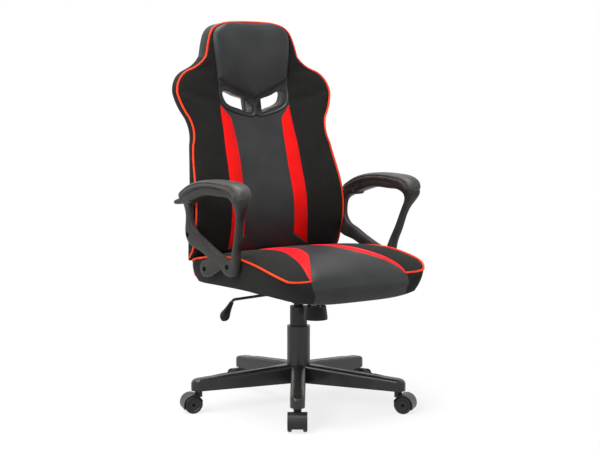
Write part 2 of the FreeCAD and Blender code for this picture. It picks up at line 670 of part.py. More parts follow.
def mechanism_housing():
    """A pressed steel channel with a taper cup for the gas cylinder and two ears for the lever."""
    half = HOUSING_HALF_W
    wall = HOUSING_WALL
    floor_top = HOUSING_Z + wall
    wall_top = HOUSING_Z + HOUSING_WALL_H
    channel = block((-half, HOUSING_FRONT_Y, HOUSING_Z), (half, HOUSING_REAR_Y, wall_top))
    channel = channel.cut(block((wall - half, HOUSING_FRONT_Y + wall, floor_top),
                                (half - wall, HOUSING_REAR_Y - wall, wall_top + CUT_OVER)))
    cylinder = CYLINDER_D / 2 + FIXED_GAP
    cup_r = cylinder + CUP_WALL
    cup = upright(cup_r, CUP_LOW_Z, CUP_TOP_Z)
    taper_top = cylinder - TAPER_STEP
    cup_over = CUP_TOP_Z + CUT_OVER
    cup_hole = turned([(0, CUP_LOW_Z), (cylinder, CUP_LOW_Z), (taper_top, CYLINDER_TOP_Z),
                       (taper_top, cup_over), (0, cup_over)])
    block_half = LEVER_BLOCK / 2
    ear_in = block_half + EAR_GAP
    ear_end = LEVER_FULCRUM_X - block_half
    fulcrum_z = lever_z(LEVER_FULCRUM_X)
    ear = block((ear_end, ear_in, HOUSING_Z), (wall - half, ear_in + EAR_T, wall_top))
    ears = [ear, ear.mirror(Vector(), Y_AXIS)]
    solid = channel.fuse([cup] + ears)
    side = half + CUT_OVER
    pivot = bar(PIVOT_D / 2 + FIXED_GAP, (-side, PIVOT_Y, PIVOT_Z), (side, PIVOT_Y, PIVOT_Z))
    trunnion = bar(TRUNNION_D / 2 + RUN_GAP, (LEVER_FULCRUM_X, -half, fulcrum_z),
                   (LEVER_FULCRUM_X, half, fulcrum_z))
    rod_hole = bar(LEVER_ROD_D / 2 + LEVER_HOLE_GAP, (-side, 0, lever_z(-half)),
                   (wall + CUT_OVER - half, 0, lever_z(-half)))
    slot_half = (TENSION_SLOT_LEN - TENSION_SLOT_W) / 2
    slot = block((-TENSION_SLOT_W / 2, TENSION_Y - slot_half, CUP_LOW_Z),
                 (TENSION_SLOT_W / 2, TENSION_Y + slot_half, floor_top + CUT_OVER))
    slot_ends = [upright(TENSION_SLOT_W / 2, CUP_LOW_Z, floor_top + CUT_OVER, 0, TENSION_Y + end)
                 for end in (-slot_half, slot_half)]
    cuts = [cup_hole, pivot, trunnion, rod_hole, slot] + slot_ends
    add("mechanism_housing", solid.cut(cuts).removeSplitter())


def tilt_pivot_pin():
    half = HOUSING_HALF_W + SIDE_GAP + FLANGE_T + SIDE_GAP
    shank = bar(PIVOT_D / 2, (-half, PIVOT_Y, PIVOT_Z), (half, PIVOT_Y, PIVOT_Z))
    head = bar(PIVOT_HEAD_R, (half, PIVOT_Y, PIVOT_Z), (half + PIVOT_HEAD_H, PIVOT_Y, PIVOT_Z))
    add("tilt_pivot_pin", shank.fuse(both_sides(head)).removeSplitter())


def lever():
    """The height lever: a rod through a rocking block, bent down at its end into a flat paddle."""
    fulcrum_z = lever_z(LEVER_FULCRUM_X)
    half = LEVER_BLOCK / 2
    rock = block((LEVER_FULCRUM_X - half, -half, fulcrum_z - half),
                 (LEVER_FULCRUM_X + half, half, fulcrum_z + half))
    reach = half + EAR_GAP + EAR_T
    trunnion = bar(TRUNNION_D / 2, (LEVER_FULCRUM_X, -reach, fulcrum_z), (LEVER_FULCRUM_X, reach, fulcrum_z))
    bend_z = lever_z(LEVER_BEND_X)
    run = Vector(LEVER_BEND_X - LEVER_TIP_X, 0, bend_z - lever_z(LEVER_TIP_X)).normalize()
    sweep = math.radians(LEVER_DROP_DEG)
    drop = Vector(-math.cos(sweep), 0, -math.sin(sweep))
    tip = Vector(LEVER_TIP_X, 0, lever_z(LEVER_TIP_X))
    corner = Vector(LEVER_BEND_X, 0, bend_z)
    turn = run.getAngle(drop)
    back = LEVER_BEND_R * math.tan(turn / 2)
    arc_in = corner - run * back
    arc_out = corner + drop * back
    inward = (drop - run).normalize()
    arc_mid = corner + inward * (LEVER_BEND_R / math.cos(turn / 2) - LEVER_BEND_R)
    rod_end = corner + drop * LEVER_DROP_LEN
    path = Part.Wire([Part.makeLine(tip, arc_in), Part.Arc(arc_in, arc_mid, arc_out).toShape(),
                      Part.makeLine(arc_out, rod_end)])
    ring = Part.Wire(Part.makeCircle(LEVER_ROD_D / 2, tip, run))
    rod = path.makePipeShell([ring], True, False)
    hole = bar(LEVER_ROD_D / 2 + RUN_GAP, tip, corner)
    add("lever_pivot_block", rock.fuse(trunnion).cut(hole).removeSplitter())
    add("lever_rod", rod)

    profile = outline(front_view, (0, 0), (PADDLE_NECK_R, 0),
                      ((PADDLE_FLARE_R, PADDLE_FLARE_AT), (PADDLE_R, PADDLE_WIDE_AT)),
                      ((PADDLE_R, PADDLE_ROUND_AT), (0, PADDLE_LEN)))
    body = Part.Face(profile).revolve(Vector(), Z_AXIS, 360)
    flatten = FreeCAD.Matrix()
    flatten.scale(1, PADDLE_FLAT, 1)
    body = body.transformGeometry(flatten)
    grip_start = arc_out + drop * RUN_GAP
    body = placed(body, grip_start, Rotation(Z_AXIS, drop))
    socket = bar(LEVER_ROD_D / 2 + FIXED_GAP, grip_start - drop, rod_end + drop * FIXED_GAP)
    add("lever_paddle", body.cut(socket))


def tension_spring():
    """A compression spring between the housing's floor and the knob's floor, one unbroken wire."""
    wire_r = SPRING_WIRE_D / 2
    low = KNOB_FLOOR_Z + wire_r + RUN_GAP
    high = HOUSING_Z - wire_r - RUN_GAP
    pitch = (high - low) / SPRING_TURNS
    quarter = math.pi / 2
    steps = 4 * SPRING_TURNS
    points = []
    for half_step in range(2 * steps + 1):
        angle = half_step * quarter / 2
        height = low + pitch * angle / (2 * math.pi)
        points.append(Vector(SPRING_R * math.cos(angle), TENSION_Y + SPRING_R * math.sin(angle), height))
    edges = [Part.Arc(points[2 * step], points[2 * step + 1], points[2 * step + 2]).toShape()
             for step in range(steps)]
    start = edges[0].tangentAt(edges[0].FirstParameter)
    ring = Part.Wire(Part.makeCircle(wire_r, points[0], start))
    turn = 2 * steps // SPRING_TURNS
    least = min((above - below).Length for below, above in zip(points, points[turn:])) - SPRING_WIRE_D
    print("tension spring: least gap between turns", round(least, 2), "mm")
    add("tension_spring", Part.Wire(edges).makePipeShell([ring], True, False))


def tension_screw():
    bolt_low = KNOB_FLOOR_Z - KNOB_BOLT_REACH
    radius = TENSION_BOLT_D / 2
    shank = upright(radius, bolt_low, PLATE_Z - TENSION_HEAD_H, 0, TENSION_Y)
    head = upright(TENSION_HEAD_R, PLATE_Z - TENSION_HEAD_H, PLATE_Z, 0, TENSION_Y)
    add("tension_bolt", shank.fuse(head).removeSplitter())
    skirt_top = KNOB_LOW_Z + KNOB_SKIRT_H
    inner = KNOB_TOP_R - KNOB_WALL
    hole = radius + RUN_GAP
    hole_low = bolt_low - RUN_GAP
    knob = turned([(0, KNOB_LOW_Z), (KNOB_LOW_R, KNOB_LOW_Z), (KNOB_LOW_R, skirt_top),
                   (KNOB_TOP_R, KNOB_TOP_Z), (inner, KNOB_TOP_Z), (inner, KNOB_FLOOR_Z),
                   (hole, KNOB_FLOOR_Z), (hole, hole_low), (0, hole_low)])
    knob.translate(Vector(0, TENSION_Y, 0))
    add("tension_knob", knob)


def plate_bolt_places():
    return [(side * PLATE_HOLES_X, y) for side in (-1, 1) for y in PLATE_HOLES_Y]


def seat_plate():
    """The rocking plate: bolted under the board, with two flanges that straddle the housing."""
    plate = block((-PLATE_HALF_W, PLATE_FRONT_Y, PLATE_Z), (PLATE_HALF_W, PLATE_REAR_Y, SEAT_Z))
    inner = HOUSING_HALF_W + SIDE_GAP
    flange = block((inner, PIVOT_Y - FLANGE_HALF_LEN, PIVOT_Z - FLANGE_BELOW_PIVOT),
                   (inner + FLANGE_T, PIVOT_Y + FLANGE_HALF_LEN, PLATE_Z))
    pivot = bar(PIVOT_D / 2 + RUN_GAP, (-PLATE_HALF_W, PIVOT_Y, PIVOT_Z), (PLATE_HALF_W, PIVOT_Y, PIVOT_Z))
    holes = [upright(PLATE_BOLT_D / 2 + FIXED_GAP, PLATE_Z - CUT_OVER, SEAT_Z + CUT_OVER, x, y)
             for x, y in plate_bolt_places()]
    add("seat_plate", plate.fuse(both_sides(flange)).cut([pivot] + holes).removeSplitter())
    shank = PLATE_BOLT_D / 2
    bolts = []
    for x, y in plate_bolt_places():
        head = upright(PLATE_BOLT_HEAD_R, PLATE_Z - PLATE_BOLT_HEAD_H, PLATE_Z, x, y)
        bolts.append(head.fuse(upright(shank, PLATE_Z, BOARD_TOP_Z, x, y)).removeSplitter())
    add("seat_plate_bolts", bolts)
    nut = turned([(shank + FIXED_GAP, BOARD_TOP_Z - TEE_NUT_H), (TEE_NUT_R, BOARD_TOP_Z - TEE_NUT_H),
                  (TEE_NUT_R, BOARD_TOP_Z - TEE_FLANGE_H), (TEE_FLANGE_R, BOARD_TOP_Z - TEE_FLANGE_H),
                  (TEE_FLANGE_R, BOARD_TOP_Z), (shank + FIXED_GAP, BOARD_TOP_Z)])
    add("seat_tee_nuts", [placed(nut, (x, y, 0)) for x, y in plate_bolt_places()])


# Seat
def rounded_panel(half_w, front, rear, corner, low, high):
    """A flat panel with rounded corners."""
    cut = corner * (1 - math.sqrt(0.5))
    wire = outline(plan_view, (corner - half_w, front), (half_w - corner, front),
                   ((half_w - cut, front + cut), (half_w, front + corner)), (half_w, rear - corner),
                   ((half_w - cut, rear - cut), (half_w - corner, rear)), (corner - half_w, rear),
                   ((cut - half_w, rear - cut), (-half_w, rear - corner)), (-half_w, front + corner),
                   ((cut - half_w, front + cut), (corner - half_w, front)))
    return slab(wire, Z_AXIS, low, high)


def seat_board():
    board = rounded_panel(BOARD_HALF_W, BOARD_FRONT_Y, BOARD_REAR_Y, BOARD_CORNER_R, SEAT_Z, BOARD_TOP_Z)
    over = BOARD_TOP_Z + CUT_OVER
    cuts = []
    for x, y in plate_bolt_places():
        cuts.append(upright(TEE_NUT_R + FIXED_GAP, SEAT_Z - CUT_OVER, over, x, y))
        cuts.append(upright(TEE_FLANGE_R + FIXED_GAP, BOARD_TOP_Z - TEE_FLANGE_H, over, x, y))
    add("seat_board", board.cut(cuts))
    inset = DUST_COVER_IN
    cover = rounded_panel(BOARD_HALF_W - inset, BOARD_FRONT_Y + inset, BOARD_REAR_Y - inset,
                          BOARD_CORNER_R - inset, SEAT_Z - DUST_COVER_T, SEAT_Z)
    add("seat_dust_cover", cover.cut(block((-PLATE_HALF_W - inset, PLATE_FRONT_Y - inset, PLATE_Z),
                                           (PLATE_HALF_W + inset, PLATE_REAR_Y + inset, SEAT_Z + CUT_OVER))))


def seat_rail(grow=0.0):
    """A wooden rail on the board's side edge, which takes the arm's bolts; grown for its pocket."""
    rear = SEAT_REAR_Y - SEAT_RAIL_REAR_IN
    return block((BOARD_HALF_W - RAIL_T - grow, rear - SEAT_RAIL_LEN - grow, BOARD_TOP_Z),
                 (BOARD_HALF_W + grow, rear + grow, BOARD_TOP_Z + SEAT_RAIL_H + grow))


def seat_section(end, place, inset, low, edge, crown):
    """One section across the seat: flat below, drawn-in sides and a crowned top."""
    y = place + (SEAT_FRONT_Y if end == "front" else SEAT_REAR_Y)
    half = SEAT_HALF_W - inset
    foot = half - SEAT_TUCK
    z_low = SEAT_Z + low
    z_edge = SEAT_Z + edge
    side = ((half + foot) / 2 + SEAT_SIDE_BULGE, (z_low + z_edge) / 2)

    def view(x, z):
        return Vector(x, y, z)

    return outline(view, (-foot, z_low), (foot, z_low), (side, (half, z_edge)),
                   ((0, z_edge + crown), (-half, z_edge)), ((-side[0], side[1]), (-foot, z_low)))


def side_holes(radius, places, inner_x):
    """Holes across both sides of the chair for one row of the arms' bolts."""
    holes = []
    for y, z in places:
        hole = bar(radius, (inner_x, SEAT_REAR_Y + y, SEAT_Z + z),
                   (BACK_LOW_HALF_W + ARM_FOOT_T, SEAT_REAR_Y + y, SEAT_Z + z))
        holes += both_sides(hole)
    return holes


def seat_cushion():
    pad = Part.makeLoft([seat_section(*section) for section in SEAT_SECTIONS], True, False)
    near = SEAT_SEAM_MID_X
    far = near + SEAM_W
    rear = SEAT_REAR_Y + CUT_OVER
    front = SEAT_FRONT_Y - CUT_OVER
    bend = SEAT_FRONT_Y + SEAT_SEAM_BEND_IN
    strip = slab(outline(plan_view, (SEAT_SEAM_FRONT_X, front), (SEAT_SEAM_FRONT_X + SEAM_W, front),
                         (far, bend), (far, rear), (near, rear), (near, bend)),
                 Z_AXIS, BOARD_TOP_Z, pad.BoundBox.ZMax + CUT_OVER)
    sunk = placed(pad, (0, 0, -SEAM_DEPTH))
    seams = [part.cut(sunk) for part in both_sides(strip)]
    board = rounded_panel(BOARD_HALF_W + SOFT_GAP, BOARD_FRONT_Y - SOFT_GAP, BOARD_REAR_Y + SOFT_GAP,
                          BOARD_CORNER_R + SOFT_GAP, pad.BoundBox.ZMin - CUT_OVER, BOARD_TOP_Z + SOFT_GAP)
    rails = both_sides(seat_rail(SOFT_GAP))
    holes = side_holes(ARM_BOLT_D / 2 + SOFT_GAP, SEAT_BOLTS, BOARD_HALF_W - RAIL_T)
    add("seat_cushion", pad.cut(seams + [board] + rails + holes))


# Back
def rear_of_back(height):
    """How far behind the foot the back's rear face lies at a height, between two sections."""
    for low, high in zip(BACK_STATIONS, BACK_STATIONS[1:]):
        if low[0] <= height <= high[0]:
            share = (height - low[0]) / (high[0] - low[0])
            return BACK_REAR_Y + low[3] + share * (high[3] - low[3])
    raise ValueError("height is outside the back")


def back_slab():
    """The padded body before it is cut to its outline: hollowed in front, crowned behind."""
    wires = []
    for height, middle, wing, rear in BACK_STATIONS:
        edge = middle + (wing - middle) * (SLAB_HALF_W / WING_X) ** 2
        z = SEAT_Z + height

        def view(x, y):
            return Vector(x, BACK_REAR_Y + y, z)

        half = SLAB_HALF_W
        wires.append(outline(view, (-half, edge), ((0, middle), (half, edge)), (half, rear),
                             ((0, rear + BACK_REAR_CROWN), (-half, rear))))
    return Part.makeLoft(wires, True, False)


def back_outline(inset, low):
    """The back seen from the front: narrow head, flared shoulders, drawn-in waist."""
    widths = {"head": HEAD_HALF_W, "neck": NECK_HALF_W, "shoulder": SHOULDER_HALF_W,
              "waist": WAIST_HALF_W, "foot": BACK_LOW_HALF_W}
    crown = BACK_TOP_Z - inset

    def corner(name, out, height):
        top = crown if name == "head" else BACK_TOP_Z
        return (widths[name] - inset + out, height + (top if height < 0 else SEAT_Z))

    def flip(move):
        return tuple(flip(point) for point in move) if isinstance(move[0], tuple) else (-move[0], move[1])

    right = [(HEAD_TOP_HALF_W, crown - HEAD_TOP_DROP)]
    for move in BACK_EDGE:
        points = tuple(corner(*point) for point in move)
        right.append(points if len(points) == 2 else points[0])
    right.append((widths["foot"] - inset, SEAT_Z + low))
    ends = [move[-1] if isinstance(move[0], tuple) else move for move in right]
    left = [flip(ends[-1])]
    for index in range(len(right) - 1, 0, -1):
        there = flip(ends[index - 1])
        move = right[index]
        left.append((flip(move[0]), there) if isinstance(move[0], tuple) else there)
    return outline(front_view, flip(right[0]), ((0, crown), right[0]), *right[1:], *left)


def through_y(wire):
    """A front-view outline carried right through the back."""
    return slab(wire, Y_AXIS, BACK_REAR_Y - BACK_CUT_DEPTH, BACK_REAR_Y + BACK_CUT_DEPTH)


def slot_wire(grow):
    """One slot's outline, grown outwards by a rim width."""
    wire = outline(front_view, *[(x, BACK_TOP_Z + height) for x, height in SLOT_CORNERS])
    return wire if grow == 0 else wire.makeOffset2D(grow, 0, False, False)


def slots(grow):
    return both_sides(through_y(slot_wire(grow)))


def bezel_plate():
    """The mask-shaped plate round both slots, as a solid right through the back."""
    inner, top = SLOT_CORNERS[0]
    high = BACK_TOP_Z + top
    low = BACK_TOP_Z + SLOT_CORNERS[-1][1] - BEZEL_RIM
    notch = BEZEL_RIM / 2
    bridge = through_y(outline(front_view, (-inner, low), (inner, low), (inner, high + notch),
                               (0, high - notch), (-inner, high + notch)))
    return bridge.fuse(slots(BEZEL_RIM)).removeSplitter()


def head_pad_outline():
    """The raised headrest panel: rounded above, pointed below between the slots."""
    half = HEAD_PAD_HALF_W
    top = BACK_TOP_Z + HEAD_PAD_TOP
    low = BACK_TOP_Z + HEAD_PAD_LOW
    corner = HEAD_PAD_CORNER_R
    cut = corner * (1 - math.sqrt(0.5))
    return outline(front_view, (0, BACK_TOP_Z + HEAD_PAD_POINT), (half, low), (half, top - corner),
                   ((half - cut, top - cut), (half - corner, top)), (corner - half, top),
                   ((cut - half, top - cut), (-half, top - corner)), (-half, low))


def behind_board(from_rear):
    """Everything behind a face that follows the back's rear at a depth, across the chair."""
    line = [(BACK_REAR_Y + station[-1] - from_rear, SEAT_Z + station[0]) for station in BACK_STATIONS]
    far = BACK_REAR_Y + BACK_CUT_DEPTH
    wire = outline(side_view, *line, (far, line[-1][1]), (far, line[0][1]))
    return slab(wire, X_AXIS, -SLAB_HALF_W - CUT_OVER, SLAB_HALF_W + CUT_OVER)


def back_rail(grow=0.0):
    """A wooden rail in front of the board's side edge, which takes the arm's bolts."""
    beside = [station[0] for station in BACK_STATIONS if BACK_RAIL_LOW < station[0] < BACK_RAIL_TOP]
    rear = min(rear_of_back(height) for height in [BACK_RAIL_LOW, *beside, BACK_RAIL_TOP])
    front_of_board = rear - BACK_BOARD_COVER - BACK_BOARD_T
    low = SEAT_Z + BACK_RAIL_LOW - grow
    return block((BACK_RAIL_X - RAIL_T - grow, front_of_board - BACK_RAIL_DEPTH - grow, low),
                 (BACK_RAIL_X + grow, front_of_board + grow, SEAT_Z + BACK_RAIL_TOP + grow))


def stripe_seams(body):
    """Sewn channels along both edges of each side stripe."""
    seams = []
    sunk = shifted(body, SEAM_DEPTH)
    low = SEAT_Z + STRIPE_LOW
    top = BACK_TOP_Z + STRIPE_TOP
    for x, slant in ((STRIPE_INNER_X, STRIPE_SLANT), (STRIPE_OUTER_X, 0.0)):
        strip = block((x - SEAM_W / 2, BACK_REAR_Y - BACK_CUT_DEPTH, low + slant),
                      (x + SEAM_W / 2, BACK_REAR_Y, top - slant))
        seams += [part.cut(sunk) for part in both_sides(strip)]
    return seams


def below_back():
    """The space under the back's sloping foot."""
    far = BACK_REAR_Y + BACK_CUT_DEPTH
    near = BACK_REAR_Y - BACK_CUT_DEPTH
    low = SEAT_Z - CUT_OVER
    slope = (BACK_FRONT_FOOT - BACK_REAR_FOOT) / BACK_FOOT_DEPTH
    rise = slope * BACK_CUT_DEPTH
    foot = SEAT_Z + BACK_REAR_FOOT
    wire = outline(side_view, (near, low), (far, low), (far, foot - rise), (near, foot + rise))
    return slab(wire, X_AXIS, -SLAB_HALF_W, SLAB_HALF_W)


def back():
    whole = back_slab()
    body = whole.common(through_y(back_outline(0.0, 0.0)))
    pad = shifted(whole, -HEAD_PAD_RISE).common(through_y(head_pad_outline()))
    seams = stripe_seams(body)
    board_prism = through_y(back_outline(BACK_BOARD_IN, BACK_BOARD_LOW))
    pocket_prism = through_y(back_outline(BACK_BOARD_IN - SOFT_GAP, BACK_BOARD_LOW - SOFT_GAP))
    depth = BACK_BOARD_COVER + BACK_BOARD_T
    sleeve_room = slots(BEZEL_SLEEVE + FIXED_GAP)
    pocket = pocket_prism.common(behind_board(depth + SOFT_GAP))
    rail_room = both_sides(back_rail(SOFT_GAP).common(shifted(whole, BACK_RAIL_COVER - SOFT_GAP)))
    holes = side_holes(ARM_BOLT_D / 2 + SOFT_GAP, BACK_BOLTS, BACK_RAIL_X - RAIL_T)
    add("back_cushion", body.fuse(pad).cut(seams + [below_back(), pocket] + sleeve_room + rail_room + holes))
    board = board_prism.common(behind_board(depth).cut(behind_board(BACK_BOARD_COVER)))
    add("back_board", board.cut(sleeve_room))
    cover = whole.common(board_prism).common(behind_board(BACK_BOARD_COVER))
    add("back_rear_cover", cover.cut(sleeve_room))
    rail_holes = side_holes(INSERT_R + FIXED_GAP, BACK_BOLTS, 0)
    rails = both_sides(back_rail().common(shifted(whole, BACK_RAIL_COVER)))
    add("back_side_rails", [rail.cut(rail_holes) for rail in rails])

    ring = bezel_plate().cut(slots(0))
    face = shifted(whole, -BEZEL_T - SOFT_GAP).cut(shifted(whole, -SOFT_GAP)).common(ring)
    walls = Part.makeCompound(slots(BEZEL_SLEEVE)).cut(slots(0)).common(shifted(whole, -BEZEL_T))
    add("slot_bezel", face.fuse(walls).removeSplitter())
    rear_ring = bezel_plate().cut(sleeve_room)
    add("slot_bezel_rear", shifted(whole, BEZEL_T + SOFT_GAP).cut(shifted(whole, SOFT_GAP)).common(rear_ring))


# Arms: made for the sitter's left and mirrored
def arm_wire(points):
    """A side-view outline of the arm, from the seat's rear end and the seat board's underside."""
    moves = [tuple((SEAT_REAR_Y + y, SEAT_Z + z) for y, z in point) if isinstance(point[0], tuple)
             else (SEAT_REAR_Y + point[0], SEAT_Z + point[1]) for point in points]
    return outline(side_view, *moves)


def arm_half(points, start, end):
    """A front-view outline of one half of the arm, carried between two places along the seat."""
    wire = outline(front_view, *[(SEAT_HALF_W + out, SEAT_Z + height) for out, height in points])
    return slab(wire, Y_AXIS, start, end)


def arm_frame():
    """A closed plastic loop: a slim front strut, a web on the seat's side and a rear strut."""
    far = SEAT_HALF_W + ARM_REACH
    loop = slab(arm_wire(ARM_OUTER), X_AXIS, 0, far).cut(slab(arm_wire(ARM_INNER), X_AXIS, 0, far))
    split = SEAT_REAR_Y + ARM_SPLIT
    front = loop.common(arm_half(ARM_FRONT_HALF, split - ARM_REACH, split))
    rear = loop.common(arm_half(ARM_REAR_HALF, split, split + ARM_REACH))
    return front.fuse(rear).removeSplitter()


def arm_pad():
    """The padded top of the arm, rounded over its edges and curled over the front end."""
    low_x = SEAT_HALF_W + PAD_IN
    pad = slab(arm_wire(PAD_SIDE), X_AXIS, low_x, low_x + PAD_W)
    seat = arm_wire(ARM_OUTER).makeOffset2D(FIXED_GAP, 0, False, False)
    pad = pad.cut(slab(seat, X_AXIS, 0, low_x + PAD_W + CUT_OVER))
    box = pad.BoundBox
    rim = [edge for edge in pad.Edges if edge.BoundBox.XLength < FIXED_GAP
           and edge.BoundBox.YLength > PAD_W and edge.CenterOfMass.z > box.ZMax - PAD_T]
    return pad.makeFillet(PAD_FILLET, rim)


def arm_bolt(y, z, head_x, insert_x):
    """A socket screw from the arm's outer face into its insert."""
    place = (SEAT_REAR_Y + y, SEAT_Z + z)
    shank = bar(ARM_BOLT_D / 2, (insert_x - INSERT_LEN, *place), (head_x - ARM_BOLT_HEAD_H, *place))
    head = bar(ARM_BOLT_HEAD_R, (head_x - ARM_BOLT_HEAD_H, *place), (head_x, *place))
    return shank.fuse(head).removeSplitter()


def insert_nut(y, z, insert_x):
    place = (SEAT_REAR_Y + y, SEAT_Z + z)
    sleeve = bar(INSERT_R, (insert_x - INSERT_LEN, *place), (insert_x, *place))
    return sleeve.cut(bar(ARM_BOLT_D / 2 + FIXED_GAP, (0, *place), (insert_x + CUT_OVER, *place)))


def arms():
    frame = arm_frame()
    bolts = []
    nuts = []
    head_x = SEAT_HALF_W + ARM_FOOT_T - ARM_BOLT_SUNK
    for places, insert_x in ((SEAT_BOLTS, BOARD_HALF_W), (BACK_BOLTS, BACK_RAIL_X)):
        for y, z in places:
            bolts += both_sides(arm_bolt(y, z, head_x, insert_x))
            nuts += both_sides(insert_nut(y, z, insert_x))
    places = SEAT_BOLTS + BACK_BOLTS
    frame = frame.cut(side_holes(ARM_BOLT_D / 2 + FIXED_GAP, places, 0)
                      + side_holes(ARM_BOLT_HEAD_R + FIXED_GAP, places, head_x - ARM_BOLT_HEAD_H))
    add("arm_bolts", bolts)
    add("arm_insert_nuts", nuts)
    rail_holes = side_holes(INSERT_R + FIXED_GAP, SEAT_BOLTS, 0)
    add("seat_side_rails", [rail.cut(rail_holes) for rail in both_sides(seat_rail())])
    pad = arm_pad()
    add("arm_frame_left", frame)
    add("arm_frame_right", mirrored(frame))
    add("arm_pad_left", pad)
    add("arm_pad_right", mirrored(pad))


os.makedirs("parts", exist_ok=True)
casters()
star_base()
column()
gas_lift()
mechanism_housing()
tilt_pivot_pin()
lever()
tension_spring()
tension_screw()
seat_plate()
seat_board()
seat_cushion()
back()
arms()
for name, shape in PARTS.items():
    shape.exportStep(f"parts/{name}.step")
print(len(PARTS), "parts")
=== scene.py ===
import json
import math

import bmesh
import bpy
import numpy as np
from mathutils import Matrix


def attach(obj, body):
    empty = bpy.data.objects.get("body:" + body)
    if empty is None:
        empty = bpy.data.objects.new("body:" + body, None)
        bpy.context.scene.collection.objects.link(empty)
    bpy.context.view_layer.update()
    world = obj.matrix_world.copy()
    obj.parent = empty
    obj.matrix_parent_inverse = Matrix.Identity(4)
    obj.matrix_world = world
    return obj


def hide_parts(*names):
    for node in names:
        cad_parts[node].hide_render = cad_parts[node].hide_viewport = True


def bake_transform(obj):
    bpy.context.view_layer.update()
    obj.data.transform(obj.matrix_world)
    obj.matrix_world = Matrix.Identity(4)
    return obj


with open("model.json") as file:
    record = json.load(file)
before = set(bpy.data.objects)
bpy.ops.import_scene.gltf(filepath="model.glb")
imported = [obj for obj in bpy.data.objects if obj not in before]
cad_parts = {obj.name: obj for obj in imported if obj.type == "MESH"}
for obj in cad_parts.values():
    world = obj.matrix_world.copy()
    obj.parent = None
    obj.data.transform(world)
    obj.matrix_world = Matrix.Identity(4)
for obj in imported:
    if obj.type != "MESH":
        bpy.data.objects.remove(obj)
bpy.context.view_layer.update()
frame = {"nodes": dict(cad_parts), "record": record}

# Sizes are in millimetres, in the CAD frame: floor z 0, column axis x = y = 0, the chair faces -Y.
MM = 0.001
# Points this close (in metres) are one, and edges this short are dropped.
MERGE_WITHIN, SLIVER = 0.00002, 0.000005
# A ring this small is closed to a point.
POINT = 0.001
SIDES = {-1: "right", 1: "left"}
# The shares by which a padded piece's end rows are drawn together.
CLOSING_STEPS = (0.35, 0.7, 1.0)
CLOTH_FRAMES, CLOTH_PRESSURE = 20, 4.0
# A padded cover's finishes by number, and the number of a face that is in no counted column.
KNIT, PANEL, STRIPE = 0, 1, 2
NO_CELL = 99

# Back, at each height: y of the front's middle, of the front at the wings and of the rear's edge.
BACK_Z = (402, 454, 520, 590, 660, 735, 800, 850, 910, 960, 1010, 1070, 1142)
BACK_MIDDLE_Y = (168, 160, 153, 155, 171, 192, 215, 232, 243, 248, 249, 254, 268)
BACK_WING_Y = (170, 159, 141, 138, 153, 178, 192, 209, 227, 236, 240, 250, 262)
BACK_REAR_Y = (202, 202, 198, 192, 199, 217, 240, 258, 273, 286, 299, 308, 313)
BACK_TOP = 1119.0
BACK_FOOT = 441.0
WING_X, REAR_HALF_W, REAR_CROWN = 250.0, 309.0, 8.0
# The top is a flat arc between its two ends, and rows near it bend alike.
TOP_END, TOP_CURVE, TOP_CURVE_FROM, TOP_RISE = (70.0, 1117.0), 2.0, 1095.0, 2.0
FRONT_ROUND, REAR_ROUND, SEAM_DEPTH = 7.0, 14.0, 3.0
REAR_SEAM_IN, REAR_SEAM_W, REAR_SEAM_DEPTH = 20.0, 3.5, 2.0
# The rear hangs below the front at the foot, from this height over this run.
REAR_HANG, REAR_HANG_FROM, REAR_HANG_RUN = 21.0, 520.0, 79.0
# The band between front and rear: its columns, how far it bows out, and the height from which it is charcoal.
GUSSET_COLUMNS, GUSSET_PUFF, HEAD_GUSSET_Z = 5, 2.5, 1012.0
# The head panel stands proud above a line that rises from its point.
HEAD_POINT_Z, HEAD_POINT_SLOPE, HEAD_ROUND = 890.0, 0.47, 42.0
HEAD_RAISE = 12.0
HEAD_SWELL, HEAD_SWELL_H, HEAD_SWELL_IN = 10.0, 170.0, 60.0
# The sewn lines of the back: half width of the middle panel and of the stripe's outer side, at each height.
PANEL_LINE = ((441, 488, 650, 710, 740, 796, 833, 955, 1063, 1095, 1110, 1119),
              (88, 88, 85, 83, 84, 86, 89, 88, 88, 82, 66, 46))
STRIPE_LINE = ((441, 454, 515, 649, 708, 737, 796, 872, 955, 1001, 1050, 1075, 1095, 1110, 1119),
               (143, 141, 135, 131, 129, 129, 125, 122, 123, 129, 134, 134, 125, 99, 67))
# Rows along a sewn line: height on the middle, rise to the panel line, rise from there to the stripe line.
KEY_ROWS = ((441, 0, 0), (488, 0, -38), (815, 18, 39), (890, 45, 19), (1119, 0, 0))
KEY_COUNTS = (7, 44, 14, 36)
ROW_STRIPE_FOOT, ROW_STRIPE_TOP, ROW_HEAD = (sum(KEY_COUNTS[:number]) for number in (1, 2, 3))
# Columns of the middle panel, of a stripe and of a side, and the rounds in which rows and columns settle.
BACK_COLUMNS, SETTLE_ROUNDS = (11, 6, 15), 14
# The back's welt: its foot, the height below which it sweeps to the rear, and how far; then how far it lies
# behind the face, how far its feet stand out, and its radius.
WELT_FOOT, WELT_TURN, WELT_SWEEP = 431.0, 466.0, 15.0
WELT_BEHIND, WELT_OUT, BACK_WELT_R = 4.0, 2.0, 3.1
# The strap slots: corners of the +X one as (x, z), the plate's wall in it, and where the cut starts and ends.
SLOT_CORNERS = ((26, 888), (114, 927), (113, 880), (84, 865), (26, 846))
SLOT_WALL, SLOT_FROM_Y, SLOT_TO_Y = 2.8, 170.0, 340.0
